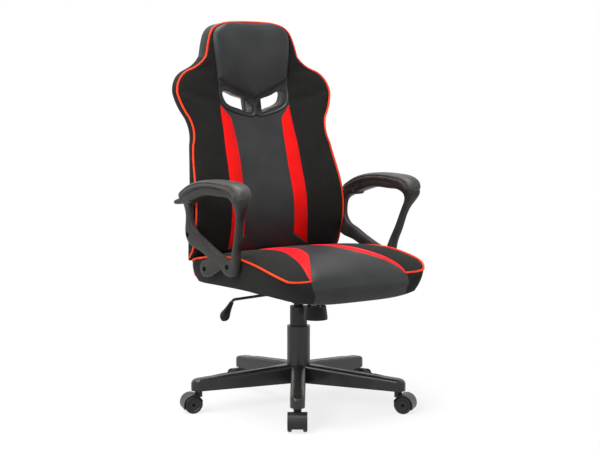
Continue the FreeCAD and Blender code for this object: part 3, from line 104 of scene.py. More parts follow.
# The mask-shaped plate round the slots: corners of its half outline and of its opening, as (x, z).
PLATE_CORNERS = ((0, 886), (60, 914), (117, 940.5), (121, 934), (121, 882), (109, 866), (88, 854), (52, 843),
                 (14, 836), (0, 842))
EYE_CORNERS = ((14, 880), (60, 899), (102, 914.5), (109, 908), (106, 893), (96, 876), (57, 861), (14, 851))
EYE_MIDDLE = (60.0, 881.0)
EYE_ROUND, PLATE_ROUND = 4, 3
# The inner end of the opening leans out to this x, where the slot in the board begins.
EYE_WAIST = 27.0
# The plate's profile: from which outline, out from it, depth behind the back's face (None: at the rear face).
PLATE_PROFILE = (("plate", -1.0, 10), ("plate", -0.2, 1.5), ("plate", -0.8, -0.6), ("plate", -2.0, -1.4),
                 ("plate", -3.4, -1.0), ("plate", -4.6, 1.0), ("eye", 5.0, 4.6), ("eye", 4.2, 3.4),
                 ("eye", 2.8, 2.6), ("eye", 1.3, 3.2), ("eye", 0.3, 4.6), ("eye", 0, 5.8), ("waist", 0, 7.0),
                 ("waist", 0, None), ("waist", 2, None), ("waist", 2, 10), ("eye", 2.2, 8.6))
# The plate ends this far inside the rear face.
REAR_INSET = 1.0
# The cover is sunk under the plate: its depth, the run of its slope, what it starts in from the outline, and
# how much it lies back over the whole band of the plate.
POCKET_DEPTH, POCKET_SLOPE, POCKET_IN, PLATE_BED = 12.5, 7.0, 1.0, 0.7

# Seat: one section per row: y, half width, underside, piped edge, crown over that edge.
SEAT_ROWS = ((-311, 164, 362, 387, 4), (-304.5, 196, 347, 401, 5), (-290, 229, 342, 415, 9),
             (-250, 252, 347, 432, 15), (-190, 256, 356, 445, 18), (-110, 256, 362, 455, 17),
             (-30, 256, 362.5, 455, 15), (60, 256, 361, 448, 11), (130, 254, 359, 437, 6),
             (180, 248, 360, 427, 4), (204, 234, 366, 415, 3))
# How far in the underside's edge lies from the half width, at each row.
SEAT_TUCK = (5, 20, 31, 31, 26, 20, 17, 17, 17, 17, 17)
SEAT_BULGE, SEAT_SEAM_DEPTH, SEAT_ROUND_IN, SEAT_ROUND_DOWN = 6.0, 2.6, 7.0, 5.0
SEAT_STEPS, SEAT_COLUMNS, UNDER_COLUMNS, SIDE_COLUMNS = 73, (10, 5, 9), (12, 6, 1, 5), 7
# The ends are closed by a line a little narrower than the top, pushed out.
END_WIDTH, END_PUSH = 0.97, 1.5
# How far the underside curls up towards the sides, from front to rear.
SEAT_CURL = ((-316, -250, -150, 204), (14, 14, 4, 2))
# The board's pocket in the underside, with its gap, its step and the room over the board.
BOARD_HALF_W, BOARD_FRONT, BOARD_REAR, BOARD_TOP = 226.0, -270.0, 175.0, 384.0
BOARD_GAP, BOARD_STEP, BOARD_OVER = 0.6, 3.0, 0.4
# The sewn lines of the seat's top, from front to rear: half width of the middle panel and of the stripe.
SEAT_PANEL_LINE = ((-316, -299, -256, -206, -164, -120, -60, 60, 204),
                   (157, 157, 134, 103, 78, 62, 50, 42, 40))
SEAT_STRIPE_LINE = ((-316, -299, -255, -217, -150, -113, -38, 60, 204),
                    (161, 161, 153, 143, 128, 120, 110, 102, 98))
# They keep this far from the edge, and the stripe's line is sewn where the seat is wider than this.
PANEL_MARGIN, STRIPE_MARGIN, STRIPE_SEAM_HALF_W = 7.0, 3.0, 170.0
# The nose seam's foot, how far back the nose panel goes underneath, and what stays unblown at both ends.
NOSE_SEAM_X, NOSE_PANEL_Y, HELD_NOSE_Y, HELD_REAR_Y = 156.0, -255.0, -306.0, 125.0
SEAT_WELT_R, SEAT_WELT_IN, SEAT_WELT_DOWN = 3.0, 0.5, 1.0
# The welt's run along the edge, in row numbers, then its points up the rear corner and across to the nose.
SEAT_WELT_ROWS = (2.0, len(SEAT_ROWS) - 1.4)
SEAT_WELT_REAR = ((227.5, 203.5, 374), (230, 204.3, 388), (231.5, 203.6, 401), (233, 201.5, 409))
SEAT_WELT_NOSE = ((217, -294.5, 412), (202, -297, 410.6), (182, -298.4, 410.3), (161, -299, 410.6))
SEAT_NOSE_Y = -299.0


def linear(hex_colour):
    """sRGB hex to the linear colour that a shader takes."""
    c = np.array([int(hex_colour[i:i + 2], 16) / 255 for i in (1, 3, 5)])
    return (*np.where(c <= 0.04045, c / 12.92, ((c + 0.055) / 1.055) ** 2.4), 1.0)


def smooth(knots, values, at):
    """Natural cubic spline: the bends at the knots come from one linear solve, and each span is its cubic."""
    k, v = np.asarray(knots, float), np.asarray(values, float)
    at = np.clip(at, k[0], k[-1])
    h, n = np.diff(k), len(k)
    rows = np.arange(1, n - 1)
    a, r = np.eye(n), np.zeros(n)
    a[rows, rows - 1], a[rows, rows], a[rows, rows + 1] = h[:-1], 2 * (h[:-1] + h[1:]), h[1:]
    r[1:-1] = 6 * ((v[2:] - v[1:-1]) / h[1:] - (v[1:-1] - v[:-2]) / h[:-1])
    m = np.linalg.solve(a, r)
    i = np.clip(np.searchsorted(k, at) - 1, 0, n - 2)
    p, q = (k[i + 1] - at) / h[i], (at - k[i]) / h[i]
    return p * v[i] + q * v[i + 1] + ((p ** 3 - p) * m[i] + (q ** 3 - q) * m[i + 1]) * h[i] ** 2 / 6


def spaced(count):
    """0 to 1 in count steps, about half as long at both ends as in the middle: half even, half cosine."""
    s = np.linspace(0, 1, count + 1)
    return 0.5 * s + 0.25 * (1 - np.cos(np.pi * s))


def arc(start, middle, end, count=24):
    """Points on the circle through three points, by turning the start about the circle's centre."""
    (ax, ay), (bx, by), (cx, cy) = start, middle, end
    d = 2 * (ax * (by - cy) + bx * (cy - ay) + cx * (ay - by))
    a2, b2, c2 = ax * ax + ay * ay, bx * bx + by * by, cx * cx + cy * cy
    ux = (a2 * (by - cy) + b2 * (cy - ay) + c2 * (ay - by)) / d
    uy = (a2 * (cx - bx) + b2 * (ax - cx) + c2 * (bx - ax)) / d
    first, via, last = (math.atan2(p[1] - uy, p[0] - ux) for p in (start, middle, end))
    turn = (last - first) % (2 * math.pi)
    turn = turn if (via - first) % (2 * math.pi) < turn else turn - 2 * math.pi
    angle = first + turn * np.linspace(0, 1, count)
    radius = math.hypot(ax - ux, ay - uy)
    return np.stack([ux + radius * np.cos(angle), uy + radius * np.sin(angle)], 1)


def curve_through(points, count, closed=False):
    """Points evenly spaced along the smooth curve through the given ones: a cubic spline of each column over
    the length walked from point to point. A closed curve is fitted over three rounds, and the middle one is
    kept."""
    p = np.asarray(points, float)
    if closed:
        p = np.vstack([p, p, p, p[:1]])
    walked = np.concatenate([[0], np.cumsum(np.linalg.norm(np.diff(p, axis=0), axis=1))])
    third = len(points)
    low, high = (walked[third], walked[2 * third]) if closed else (0.0, walked[-1])
    at = np.linspace(low, high, count + 1)[:-1] if closed else np.linspace(low, high, count)
    return np.stack([smooth(walked, column, at) for column in p.T], 1)


def grid_faces(rows, columns, closed_rows=False, closed_columns=False):
    """The four corners of each cell of a grid of rows by columns, as one array."""
    j = np.arange(rows if closed_rows else rows - 1)[:, None]
    i = np.arange(columns if closed_columns else columns - 1)[None, :]
    this, after = j * columns, (j + 1) % rows * columns
    i2 = (i + 1) % columns
    return np.stack([this + i, this + i2, after + i2, after + i], -1).reshape(-1, 4)


def zoned(counts):
    """Columns of several zones side by side: each one's share of its zone, and its zone's number."""
    shares = [spaced(count)[:-1] for count in counts[:-1]] + [spaced(counts[-1])]
    return np.concatenate(shares), np.repeat(np.arange(len(counts)), [len(share) for share in shares])


def between_lines(share, zone, lines):
    """Places of the columns: those of zone k lie between line k and line k + 1, by their shares."""
    runs = [start + (end - start) * share for start, end in zip(lines, lines[1:])]
    return np.select([zone == number for number in range(len(runs))], runs)


def mirrored(half, sign=1):
    """The columns of a +X half, after their mirror image times sign."""
    return np.concatenate([sign * half[:, :0:-1], half], 1)


def edge_drop(apart, reach, fall):
    """How far a rounded edge falls away at a distance in from it: a quarter ellipse of reach by fall."""
    near = 1 - np.clip(apart / reach, 0, 1)
    return fall * (1 - np.sqrt(1 - near ** 2))


def joined(shells):
    """Points and faces of several shells as one: each shell's faces count on from the points before it."""
    points = [own.reshape(-1, 3) for own, _ in shells]
    starts = np.cumsum([0] + [len(own) for own in points])
    faces = [own + start for (_, own), start in zip(shells, starts)]
    return np.concatenate(points), np.concatenate(faces)


def piece(name, points, faces, materials, finish=None, held=None):
    """A mesh of the points (mm) and faces: doubles merged, faces outwards, smooth. finish numbers each face's
    material, and held is kept as a point attribute for the simulation."""
    mesh = bpy.data.meshes.new(name)
    mesh.from_pydata((np.asarray(points).reshape(-1, 3) * MM).tolist(), [], np.asarray(faces).tolist())
    for material in materials:
        mesh.materials.append(material)
    if finish is not None:
        mesh.polygons.foreach_set("material_index", np.asarray(finish, np.int32).ravel())
    if held is not None:
        kept = mesh.attributes.new("held", "FLOAT", "POINT")
        kept.data.foreach_set("value", np.asarray(held, np.float32).ravel())
    b = bmesh.new()
    b.from_mesh(mesh)
    bmesh.ops.remove_doubles(b, verts=b.verts, dist=MERGE_WITHIN)
    bmesh.ops.dissolve_degenerate(b, edges=b.edges, dist=SLIVER)
    bmesh.ops.recalc_face_normals(b, faces=b.faces)
    b.to_mesh(mesh)
    b.free()
    mesh.polygons.foreach_set("use_smooth", np.ones(len(mesh.polygons), bool))
    made = bpy.data.objects.new(name, mesh)
    bpy.context.scene.collection.objects.link(made)
    return made


def vertices(mesh):
    """A mesh's points, in metres."""
    co = np.empty(len(mesh.vertices) * 3, np.float32)
    mesh.vertices.foreach_get("co", co)
    return co.reshape(-1, 3).astype(float)


def bake(made):
    """The modifiers' result becomes the piece's own mesh."""
    graph = bpy.context.evaluated_depsgraph_get()
    mesh = bpy.data.meshes.new_from_object(made.evaluated_get(graph))
    old = made.data
    made.modifiers.clear()
    made.data = mesh
    bpy.data.meshes.remove(old)


def stuff(made, cap):
    """Foam and air press the cover out between its sewn lines: cloth under pressure, with the held points
    pinned, and no point moves more than cap (mm). Then one subdivision."""
    mesh = made.data
    rest = vertices(mesh)
    held = np.empty(len(mesh.vertices), np.float32)
    mesh.attributes["held"].data.foreach_get("value", held)
    group = made.vertex_groups.new(name="held")
    for weight in np.unique(held):
        group.add(np.nonzero(held == weight)[0].tolist(), float(weight), "REPLACE")
    cloth = made.modifiers.new("stuffing", "CLOTH")
    settings = cloth.settings
    settings.quality = 6
    settings.mass = 0.3
    settings.tension_stiffness = settings.compression_stiffness = 12
    settings.shear_stiffness = 6
    settings.bending_stiffness = 2
    settings.use_pressure = True
    settings.uniform_pressure_force = CLOTH_PRESSURE
    settings.vertex_group_mass = "held"
    settings.effector_weights.gravity = 0
    cloth.collision_settings.use_collision = False
    scene = bpy.context.scene
    for number in range(1, CLOTH_FRAMES + 1):
        scene.frame_set(number)
    graph = bpy.context.evaluated_depsgraph_get()
    blown = made.evaluated_get(graph).to_mesh()
    move = vertices(blown) - rest
    made.evaluated_get(graph).to_mesh_clear()
    made.modifiers.clear()
    scene.frame_set(1)
    length = np.linalg.norm(move, axis=1, keepdims=True) / MM
    move *= cap * np.tanh(length / cap) / np.maximum(length, 1e-6)
    mesh.vertices.foreach_set("co", (rest + move).astype(np.float32).ravel())
    mesh.update()
    made.vertex_groups.clear()
    rounding = made.modifiers.new("rounding", "SUBSURF")
    rounding.levels = rounding.render_levels = 1
    bake(made)
    if "held" in made.data.attributes:
        made.data.attributes.remove(made.data.attributes["held"])


# Materials
def add_node(owner, kind, inputs=None, into=None, **settings):
    """One node with its settings. An input is a value, or the (node, output) that feeds it; into is the
    (output, node, input) that the new node feeds."""
    tree = owner.node_tree
    node = tree.nodes.new(kind)
    for key, value in settings.items():
        setattr(node, key, value)
    for key, value in (inputs or {}).items():
        if isinstance(value, tuple) and hasattr(value[0], "outputs"):
            tree.links.new(value[0].outputs[value[1]], node.inputs[key])
        else:
            node.inputs[key].default_value = value
    if into:
        output, fed, socket = into
        tree.links.new(node.outputs[output], fed.inputs[socket])
    return node


def finish_named(name, constants):
    """A new node material with constants on its shader's own sockets, that shader, and the output that
    gives a point's place on the object."""
    material = bpy.data.materials.new(name)
    material.use_nodes = True
    shader = material.node_tree.nodes["Principled BSDF"]
    for socket, value in constants.items():
        shader.inputs[socket].default_value = value
    return material, shader, (add_node(material, "ShaderNodeTexCoord"), "Object")


def grained_pu(name, dark, light, roughness, specular, grain_mm=2.4, drift_mm=70, bump=0.16, sheen=0.0):
    """Polyurethane-coated knit, embossed: a pebble grain of soft cells with creases between them, a low satin
    gloss that is duller in the creases, and a tone that drifts slowly. The grain is really about 1 mm and is
    drawn coarser, so that it shows."""
    material, shader, place = finish_named(name, {"Specular IOR Level": specular, "Sheen Weight": sheen,
                                                  "Sheen Tint": linear("#ff70b8"), "Sheen Roughness": 0.4})
    pebble = add_node(material, "ShaderNodeTexVoronoi", {"Vector": place, "Scale": 1000 / grain_mm},
                      feature="SMOOTH_F1")
    drift = add_node(material, "ShaderNodeTexNoise",
                     {"Vector": place, "Scale": 1000 / drift_mm, "Detail": 3.0})
    both = add_node(material, "ShaderNodeMath", {0: (pebble, "Distance"), 1: (drift, "Fac"), 2: 0.1},
                    operation="MULTIPLY_ADD")
    tone = add_node(material, "ShaderNodeMapRange",
                    {"Value": (drift, "Fac"), "From Min": 0.35, "From Max": 0.65})
    add_node(material, "ShaderNodeMix", {"Factor": (tone, "Result"), 6: linear(dark), 7: linear(light)},
             (2, shader, "Base Color"), data_type="RGBA")
    add_node(material, "ShaderNodeMapRange",
             {"Value": (both, "Value"), "From Max": 0.6, "To Min": roughness - 0.06,
              "To Max": roughness + 0.1}, ("Result", shader, "Roughness"))
    add_node(material, "ShaderNodeBump",
             {"Height": (pebble, "Distance"), "Strength": bump, "Distance": 0.0006},
             ("Normal", shader, "Normal"), invert=True)
    return material


def knitted_cloth(name, dark, light, loop_mm=2.6, blotch_mm=35):
    """Polyester spacer knit: small raised loops packed together, matt, with a faint fuzz that lightens it
    at a glancing angle. Loops are about 1.5 mm and are drawn coarser, so that they show."""
    material, shader, place = finish_named(name, {"Roughness": 0.88, "Specular IOR Level": 0.12,
                                                  "Sheen Weight": 0.02, "Sheen Roughness": 0.5})
    cells = add_node(material, "ShaderNodeTexVoronoi",
                     {"Vector": place, "Scale": 1000 / loop_mm, "Randomness": 0.75})
    loops = add_node(material, "ShaderNodeMapRange",
                     {"Value": (cells, "Distance"), "From Max": 0.7, "To Min": 1.0, "To Max": 0.0})
    blotch = add_node(material, "ShaderNodeTexNoise",
                      {"Vector": place, "Scale": 1000 / blotch_mm, "Detail": 4.0})
    mixed = add_node(material, "ShaderNodeMath", {0: (loops, "Result"), 1: (blotch, "Fac")},
                     operation="MULTIPLY")
    add_node(material, "ShaderNodeMix", {"Factor": (mixed, "Value"), 6: linear(dark), 7: linear(light)},
             (2, shader, "Base Color"), data_type="RGBA")
    add_node(material, "ShaderNodeBump", {"Height": (loops, "Result"), "Strength": 0.35, "Distance": 0.0005},
             ("Normal", shader, "Normal"))
    return material


def moulded(name, dark, light, roughness, pit_mm=1.6, rub_mm=45, bump=0.12, ior=1.5, specular=0.28):
    """Injection-moulded plastic: a spark-eroded mould leaves fine even pits, with a soft gloss that varies a
    little, and rubbed places slightly lighter. Pits are about 0.3 mm and are drawn coarser, so that they
    show. A powder coat and a black oxide have the same even pits."""
    material, shader, place = finish_named(name, {"IOR": ior, "Specular IOR Level": specular})
    pits = add_node(material, "ShaderNodeTexNoise", {"Vector": place, "Scale": 1000 / pit_mm, "Detail": 2.0})
    rubbed = add_node(material, "ShaderNodeTexNoise",
                      {"Vector": place, "Scale": 1000 / rub_mm, "Detail": 3.0})
    tone = add_node(material, "ShaderNodeMapRange",
                    {"Value": (rubbed, "Fac"), "From Min": 0.35, "From Max": 0.7})
    add_node(material, "ShaderNodeMix", {"Factor": (tone, "Result"), 6: linear(dark), 7: linear(light)},
             (2, shader, "Base Color"), data_type="RGBA")
    add_node(material, "ShaderNodeMapRange",
             {"Value": (rubbed, "Fac"), "From Min": 0.3, "From Max": 0.7,
              "To Min": roughness - 0.05, "To Max": roughness + 0.07}, ("Result", shader, "Roughness"))
    add_node(material, "ShaderNodeBump", {"Height": (pits, "Fac"), "Strength": bump, "Distance": 0.0004},
             ("Normal", shader, "Normal"))
    return material


def metal(name, dark, light, roughness, line_mm=0.8):
    """Steel, drawn or turned: fine upright lines, 25 times as long as wide, vary its tone and gloss."""
    material, shader, place = finish_named(name, {"Metallic": 1.0})
    stretch = add_node(material, "ShaderNodeMapping", {"Vector": place, "Scale": (1, 1, 0.04)})
    lines = add_node(material, "ShaderNodeTexNoise",
                     {"Vector": (stretch, "Vector"), "Scale": 1000 / line_mm, "Detail": 2.0})
    add_node(material, "ShaderNodeMix", {"Factor": (lines, "Fac"), 6: linear(dark), 7: linear(light)},
             (2, shader, "Base Color"), data_type="RGBA")
    add_node(material, "ShaderNodeMapRange",
             {"Value": (lines, "Fac"), "To Min": roughness - 0.08, "To Max": roughness + 0.1},
             ("Result", shader, "Roughness"))
    return material


def veneer(name, dark, light, ring_mm=14):
    """Birch plywood: pale long grain from front to rear with darker lines, matt and unfinished."""
    material, shader, place = finish_named(name, {"Roughness": 0.7})
    stretch = add_node(material, "ShaderNodeMapping", {"Vector": place, "Scale": (1, 0.06, 1)})
    grain = add_node(material, "ShaderNodeTexNoise",
                     {"Vector": (stretch, "Vector"), "Scale": 1000 / ring_mm, "Detail": 6.0})
    add_node(material, "ShaderNodeMix", {"Factor": (grain, "Fac"), 6: linear(dark), 7: linear(light)},
             (2, shader, "Base Color"), data_type="RGBA")
    add_node(material, "ShaderNodeBump", {"Height": (grain, "Fac"), "Strength": 0.2, "Distance": 0.0004},
             ("Normal", shader, "Normal"))
    return material


PANEL_PU = grained_pu("pu_leather_charcoal_embossed", "#1d1e1f", "#262728", 0.46, 0.28)
STRIPE_PU = grained_pu("pu_leather_red_embossed", "#d80904", "#e60e08", 0.5, 0.14, sheen=0.2)
PIPING_PU = grained_pu("pu_welt_orange_red_smooth", "#d8360f", "#e64018", 0.5, 0.2, grain_mm=1.6, bump=0.08)
SIDE_KNIT = knitted_cloth("polyester_knit_black", "#171716", "#2e2d2c")
DUST_CLOTH = knitted_cloth("spunbond_dust_cloth_black", "#181818", "#262626", loop_mm=2.2)
BASE_NYLON = moulded("nylon_black_spark_textured", "#161514", "#1f1e1d", 0.33, specular=0.42)
CASTER_NYLON = moulded("nylon_caster_black_moulded", "#161514", "#201f1e", 0.38, specular=0.32)
ARM_PLASTIC = moulded("polypropylene_arm_black_textured", "#1d1c1b", "#292726", 0.5)
KNOB_PLASTIC = moulded("abs_knob_black_moulded", "#0d0c0c", "#151414", 0.45, specular=0.22)
BEZEL_PLASTIC = moulded("abs_slot_plate_black_satin", "#1d1d1d", "#282828", 0.38)
ACETAL = moulded("acetal_natural_turned", "#d8d6d0", "#e2e0da", 0.4, ior=1.48)
BLACK_ACETAL = moulded("acetal_black_turned", "#161616", "#1f1f1f", 0.4, ior=1.48)
PAD_SKIN = moulded("pu_foam_arm_pad_skin", "#333331", "#434140", 0.46, pit_mm=2.2, bump=0.2)
BLACK_STEEL = moulded("steel_black_powder_coated", "#1d1d1d", "#282828", 0.42, pit_mm=1.8, bump=0.15)
# Black oxide, drawn near-black and almost without gloss as painted shade in the arm's bolt holes; the caster
# axles take it too.
BOLT_OXIDE_AND_HOLE_SHADE = moulded("steel_black_oxide_and_painted_hole_shade", "#020202", "#050505", 0.7, specular=0.04)
BRIGHT_STEEL = metal("steel_bright_drawn", "#a9abad", "#c4c6c8", 0.28)
PLYWOOD = veneer("birch_plywood_raw", "#b58a5c", "#d3ad7f")
# In the order of the finish numbers.
COVER = [SIDE_KNIT, PANEL_PU, STRIPE_PU]

SLOT_FINISH = {"black_nylon": BASE_NYLON, "caster_nylon": CASTER_NYLON, "black_steel": BLACK_STEEL,
               "bright_steel": BRIGHT_STEEL, "acetal": ACETAL, "arm_plastic": ARM_PLASTIC,
               "arm_pad": PAD_SKIN, "knob_plastic": KNOB_PLASTIC, "bezel_plastic": BEZEL_PLASTIC,
               "black_fabric": SIDE_KNIT, "back_fabric": SIDE_KNIT, "dust_cloth": DUST_CLOTH,
               "plywood": PLYWOOD}
# Pieces drawn dark, unlike the rest of their slot: the bush is black acetal, the caster stems are black as
# painted shade under the legs, and the arm bolts and caster axles take the near-black oxide that is painted
# shade of the bolt holes.
DARK_NODES = {"arm_bolts": BOLT_OXIDE_AND_HOLE_SHADE, "column_bush": BLACK_ACETAL, "caster_stems": BLACK_STEEL,
              **{"caster_axle_%d" % number: BOLT_OXIDE_AND_HOLE_SHADE for number in range(1, 6)}}


def finish_cad_nodes():
    """Each CAD node takes the finish of its record slot, or its own dark one."""
    slots = {part["node"]: part["material_slot"] for part in frame["record"]["subparts"]}
    for name, node in frame["nodes"].items():
        node.data.materials.clear()
        node.data.materials.append(DARK_NODES.get(name) or SLOT_FINISH[slots[name]])


# Back
def back_outline():
    """Half width over height: straight runs and arcs through three points, from the foot up to the top."""
    moves = [np.array([(258.0, 400.0), (258.0, 479.0)]), arc((258, 479), (257, 619), (240, 757)),
             arc((240, 757), (232, 801), (241, 838)), arc((241, 838), (259, 872), (269, 908)),
             arc((269, 908), (256, 947), (218, 975)), arc((218, 975), (183, 993), (160, 1016)),
             curve_through(((160, 1016), (153, 1044), (145, 1071), (137.5, 1087), (123, 1102), (100, 1111.5),
                            TOP_END), 40)]
    return np.vstack(moves)


def back_faces_y(x, z):
    """y of the front and of the rear: three splines over the height, joined across by a parabola."""
    middle, wing, rear = (smooth(BACK_Z, values, z) for values in (BACK_MIDDLE_Y, BACK_WING_Y, BACK_REAR_Y))
    front = middle + (wing - middle) * (x / WING_X) ** 2
    return front, rear + REAR_CROWN * (1 - (x / REAR_HALF_W) ** 2)


def back_grid():
    """Half widths x and heights z of the back's grid, for the +X half: columns run from the middle to the
    panel line, on to the stripe line and on to the outline; rows rise and fall with the stripes' slanted
    ends and the head panel's point. Each depends on the other, so the pair is settled by repeating."""
    outline = back_outline()
    t, zone = zoned(BACK_COLUMNS)
    keys = np.array(KEY_ROWS, float)
    level = np.concatenate([keys[k, 0] + (keys[k + 1, 0] - keys[k, 0]) * spaced(count)[:-1]
                            for k, count in enumerate(KEY_COUNTS)] + [[BACK_TOP]])[:, None]
    rise_in, rise_out = (np.interp(level, keys[:, 0], keys[:, column]) for column in (1, 2))
    near_top = np.clip((level - TOP_CURVE_FROM) / (BACK_TOP - TOP_CURVE_FROM), 0, 1)
    z = level + 0 * t
    for _ in range(SETTLE_ROUNDS):
        panel, stripe = smooth(*PANEL_LINE, z), smooth(*STRIPE_LINE, z)
        edge = np.interp(z, outline[:, 1], outline[:, 0])
        x = between_lines(t, zone, [0 * z, panel, stripe, edge])
        rise = rise_in * np.minimum(x, panel) / panel
        rise = rise + rise_out * np.clip((x - panel) / (stripe - panel), 0, 1)
        drop = TOP_CURVE * near_top * (x / TOP_END[0]) ** 2
        z = level + rise * np.where(zone == 2, 1 - t, 1) - drop
    return x, z, edge


def back_upholstery():
    """The padded back: a ring of front columns, gusset and rear columns at each row, closed at the top and
    foot by rows that draw the front and the rear together. The front has rounded edges, a raised head panel
    and sunk sewn lines; the rear's edge is rounder."""
    x, z, edge = back_grid()
    rows, half = x.shape
    row, column = np.arange(rows)[:, None], np.arange(half)[None, :]
    at_panel, at_stripe = BACK_COLUMNS[0], sum(BACK_COLUMNS[:2])
    front, rear = back_faces_y(x, z)
    # the head panel: raised within its edges, and swollen in its middle
    stripe = smooth(*STRIPE_LINE, z)
    over_point = z - (HEAD_POINT_Z + HEAD_POINT_SLOPE * x)
    inside = np.minimum(np.minimum(stripe - x, 0.8 * over_point), BACK_TOP - z)
    inside = np.clip(inside / HEAD_ROUND, 0, 1)
    swell = HEAD_SWELL * np.sin(np.pi * np.clip(over_point / HEAD_SWELL_H, 0, 1))
    swell = swell * np.clip((stripe - x) / HEAD_SWELL_IN, 0, 1)
    front = front - np.where(row >= ROW_HEAD, HEAD_RAISE * np.sqrt(1 - (1 - inside) ** 2) + swell, 0)
    # the sewn lines, and the band that the slot plate covers
    on_panel_line = (column == at_panel) & (row >= ROW_STRIPE_FOOT) & (row <= ROW_STRIPE_TOP)
    on_stripe_line = (column == at_stripe) & (row < rows - 3)
    at_ends = (row == ROW_STRIPE_FOOT) | (row == ROW_STRIPE_TOP)
    on_ends = at_ends & (column >= at_panel) & (column <= at_stripe)
    on_point = (row == ROW_HEAD) & (column <= at_stripe)
    sewn = on_panel_line | on_stripe_line | on_ends | on_point
    under_plate = (row >= ROW_STRIPE_TOP) & (row <= ROW_HEAD) & (column <= at_stripe + 1)
    front = front + np.where(sewn & ~under_plate, SEAM_DEPTH, 0)
    front = front + np.where(under_plate, PLATE_BED + plate_pocket(x, z), 0)
    # the edges, the rear's seam and its foot
    apart = np.minimum(np.minimum(edge - x, BACK_TOP - z), z - BACK_FOOT)
    front = front + edge_drop(apart, FRONT_ROUND, FRONT_ROUND)
    rear = rear - edge_drop(apart, REAR_ROUND, REAR_ROUND)
    rear = rear - REAR_SEAM_DEPTH * np.exp(-((apart - REAR_SEAM_IN) / REAR_SEAM_W) ** 2)
    rear_z = z - REAR_HANG * np.clip((REAR_HANG_FROM - z) / REAR_HANG_RUN, 0, 1) ** 2
    # the ring: front from -X to +X, gusset, rear from +X to -X, gusset
    gusset = np.linspace(0, 1, GUSSET_COLUMNS + 2)[1:-1]
    puff = GUSSET_PUFF * np.sin(np.pi * gusset)
    across = mirrored(x, -1)
    front_ring = np.stack([across, mirrored(front), mirrored(z)], -1)
    rear_ring = np.stack([across, mirrored(rear), mirrored(rear_z)], -1)[:, ::-1]
    right = front_ring[:, -1:] + (rear_ring[:, :1] - front_ring[:, -1:]) * gusset[None, :, None]
    left = rear_ring[:, -1:] + (front_ring[:, :1] - rear_ring[:, -1:]) * gusset[None, :, None]
    right[..., 0] += puff
    left[..., 0] -= puff
    ring = np.concatenate([front_ring, right, rear_ring, left], 1)
    # closing rows: every point goes to the middle of the thickness above its own column
    width = across.shape[1]
    middle = 0.5 * (front_ring + rear_ring[:, ::-1])
    shut = np.concatenate([middle, np.repeat(middle[:, -1:], GUSSET_COLUMNS, 1), middle[:, ::-1],
                           np.repeat(middle[:, :1], GUSSET_COLUMNS, 1)], 1)
    foot_rows = [ring[0] + (shut[0] - ring[0]) * s for s in reversed(CLOSING_STEPS)]
    top_rows = [ring[-1] + (shut[-1] - ring[-1]) * s + [0, 0, TOP_RISE * math.sin(math.pi * s / 2)]
                for s in CLOSING_STEPS]
    points = np.concatenate([foot_rows, ring, top_rows], 0)
    count = points.shape[1]
    # finishes: the panels and stripes of the front, and charcoal round the head
    faces = grid_faces(len(points), count, closed_columns=True)
    j, i = np.divmod(np.arange(len(faces)), count)
    j = j - len(CLOSING_STEPS)
    cell = np.where(i < width - 1, np.abs(i - (half - 1) + 0.5) - 0.5, NO_CELL)
    at_z = points.reshape(-1, 3)[faces].mean(1)[:, 2]
    main = (j >= 0) & (j < rows - 1)
    by_stripe = (j >= ROW_STRIPE_FOOT) & (j < ROW_STRIPE_TOP)
    on_gusset = (i >= width - 1) & ((i < width + GUSSET_COLUMNS) | (i >= 2 * width + GUSSET_COLUMNS - 1))
    finish = np.full(len(faces), KNIT)
    finish[main & ((cell < at_panel) | ((cell < at_stripe) & ~by_stripe))] = PANEL
    finish[main & (cell >= at_panel) & (cell < at_stripe) & by_stripe] = STRIPE
    finish[(on_gusset & (at_z > HEAD_GUSSET_Z)) | (j >= rows - 1)] = PANEL
    # pinned: sewn lines, the outline, everything behind the front, and what the slot plate covers
    fixed = sewn | under_plate | (column >= half - 1) | (row >= rows - 1) | (row < 2)
    held = np.ones(points.shape[:2])
    held[len(CLOSING_STEPS):-len(CLOSING_STEPS), :width] = mirrored(fixed)
    made = piece("back_upholstery", points, faces, COVER, finish, held)
    stuff(made, cap=7.0)
    cut_slots(made)
    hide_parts("back_cushion", "back_rear_cover")
    return made


def slot_prism(side):
    """The slot's corners, moved out by the plate's wall, carried through the back from front to rear."""
    corner = np.array(SLOT_CORNERS, float)
    corner[:, 0] *= side
    middle = corner.mean(0)
    edges = np.roll(corner, -1, 0) - corner
    normal = np.stack([edges[:, 1], -edges[:, 0]], 1) / np.linalg.norm(edges, axis=1)[:, None]
    normal *= np.sign(((corner - middle) * normal).sum(1))[:, None]
    before = np.roll(normal, 1, 0)
    out = corner + (before + normal) * SLOT_WALL / (1 + (before * normal).sum(1))[:, None]
    ends = [np.stack([out[:, 0], np.full(len(out), y), out[:, 1]], 1) for y in (SLOT_FROM_Y, SLOT_TO_Y)]
    sides = grid_faces(2, len(out), closed_columns=True).tolist()
    caps = [list(range(len(out))), list(range(len(out), 2 * len(out)))]
    return np.concatenate(ends), sides + caps


def plate_pocket(x, z):
    """How deep the cover is sunk for the slot plate: a smooth step over the distance from the plate's
    outline, taken as the least distance from its top line, its side and its foot. The lines slant, so the
    distance from them is 0.9 of the height between."""
    corner = np.array(PLATE_CORNERS, float)
    top, foot = corner[:3], corner[:3:-1]
    inside = np.minimum(np.interp(x, *top.T) - z, z - np.interp(x, *foot.T))
    inside = np.minimum(0.9 * inside, corner[:, 0].max() - x) - POCKET_IN
    inside = np.clip(inside / POCKET_SLOPE, 0, 1)
    return POCKET_DEPTH * inside ** 2 * (3 - 2 * inside)


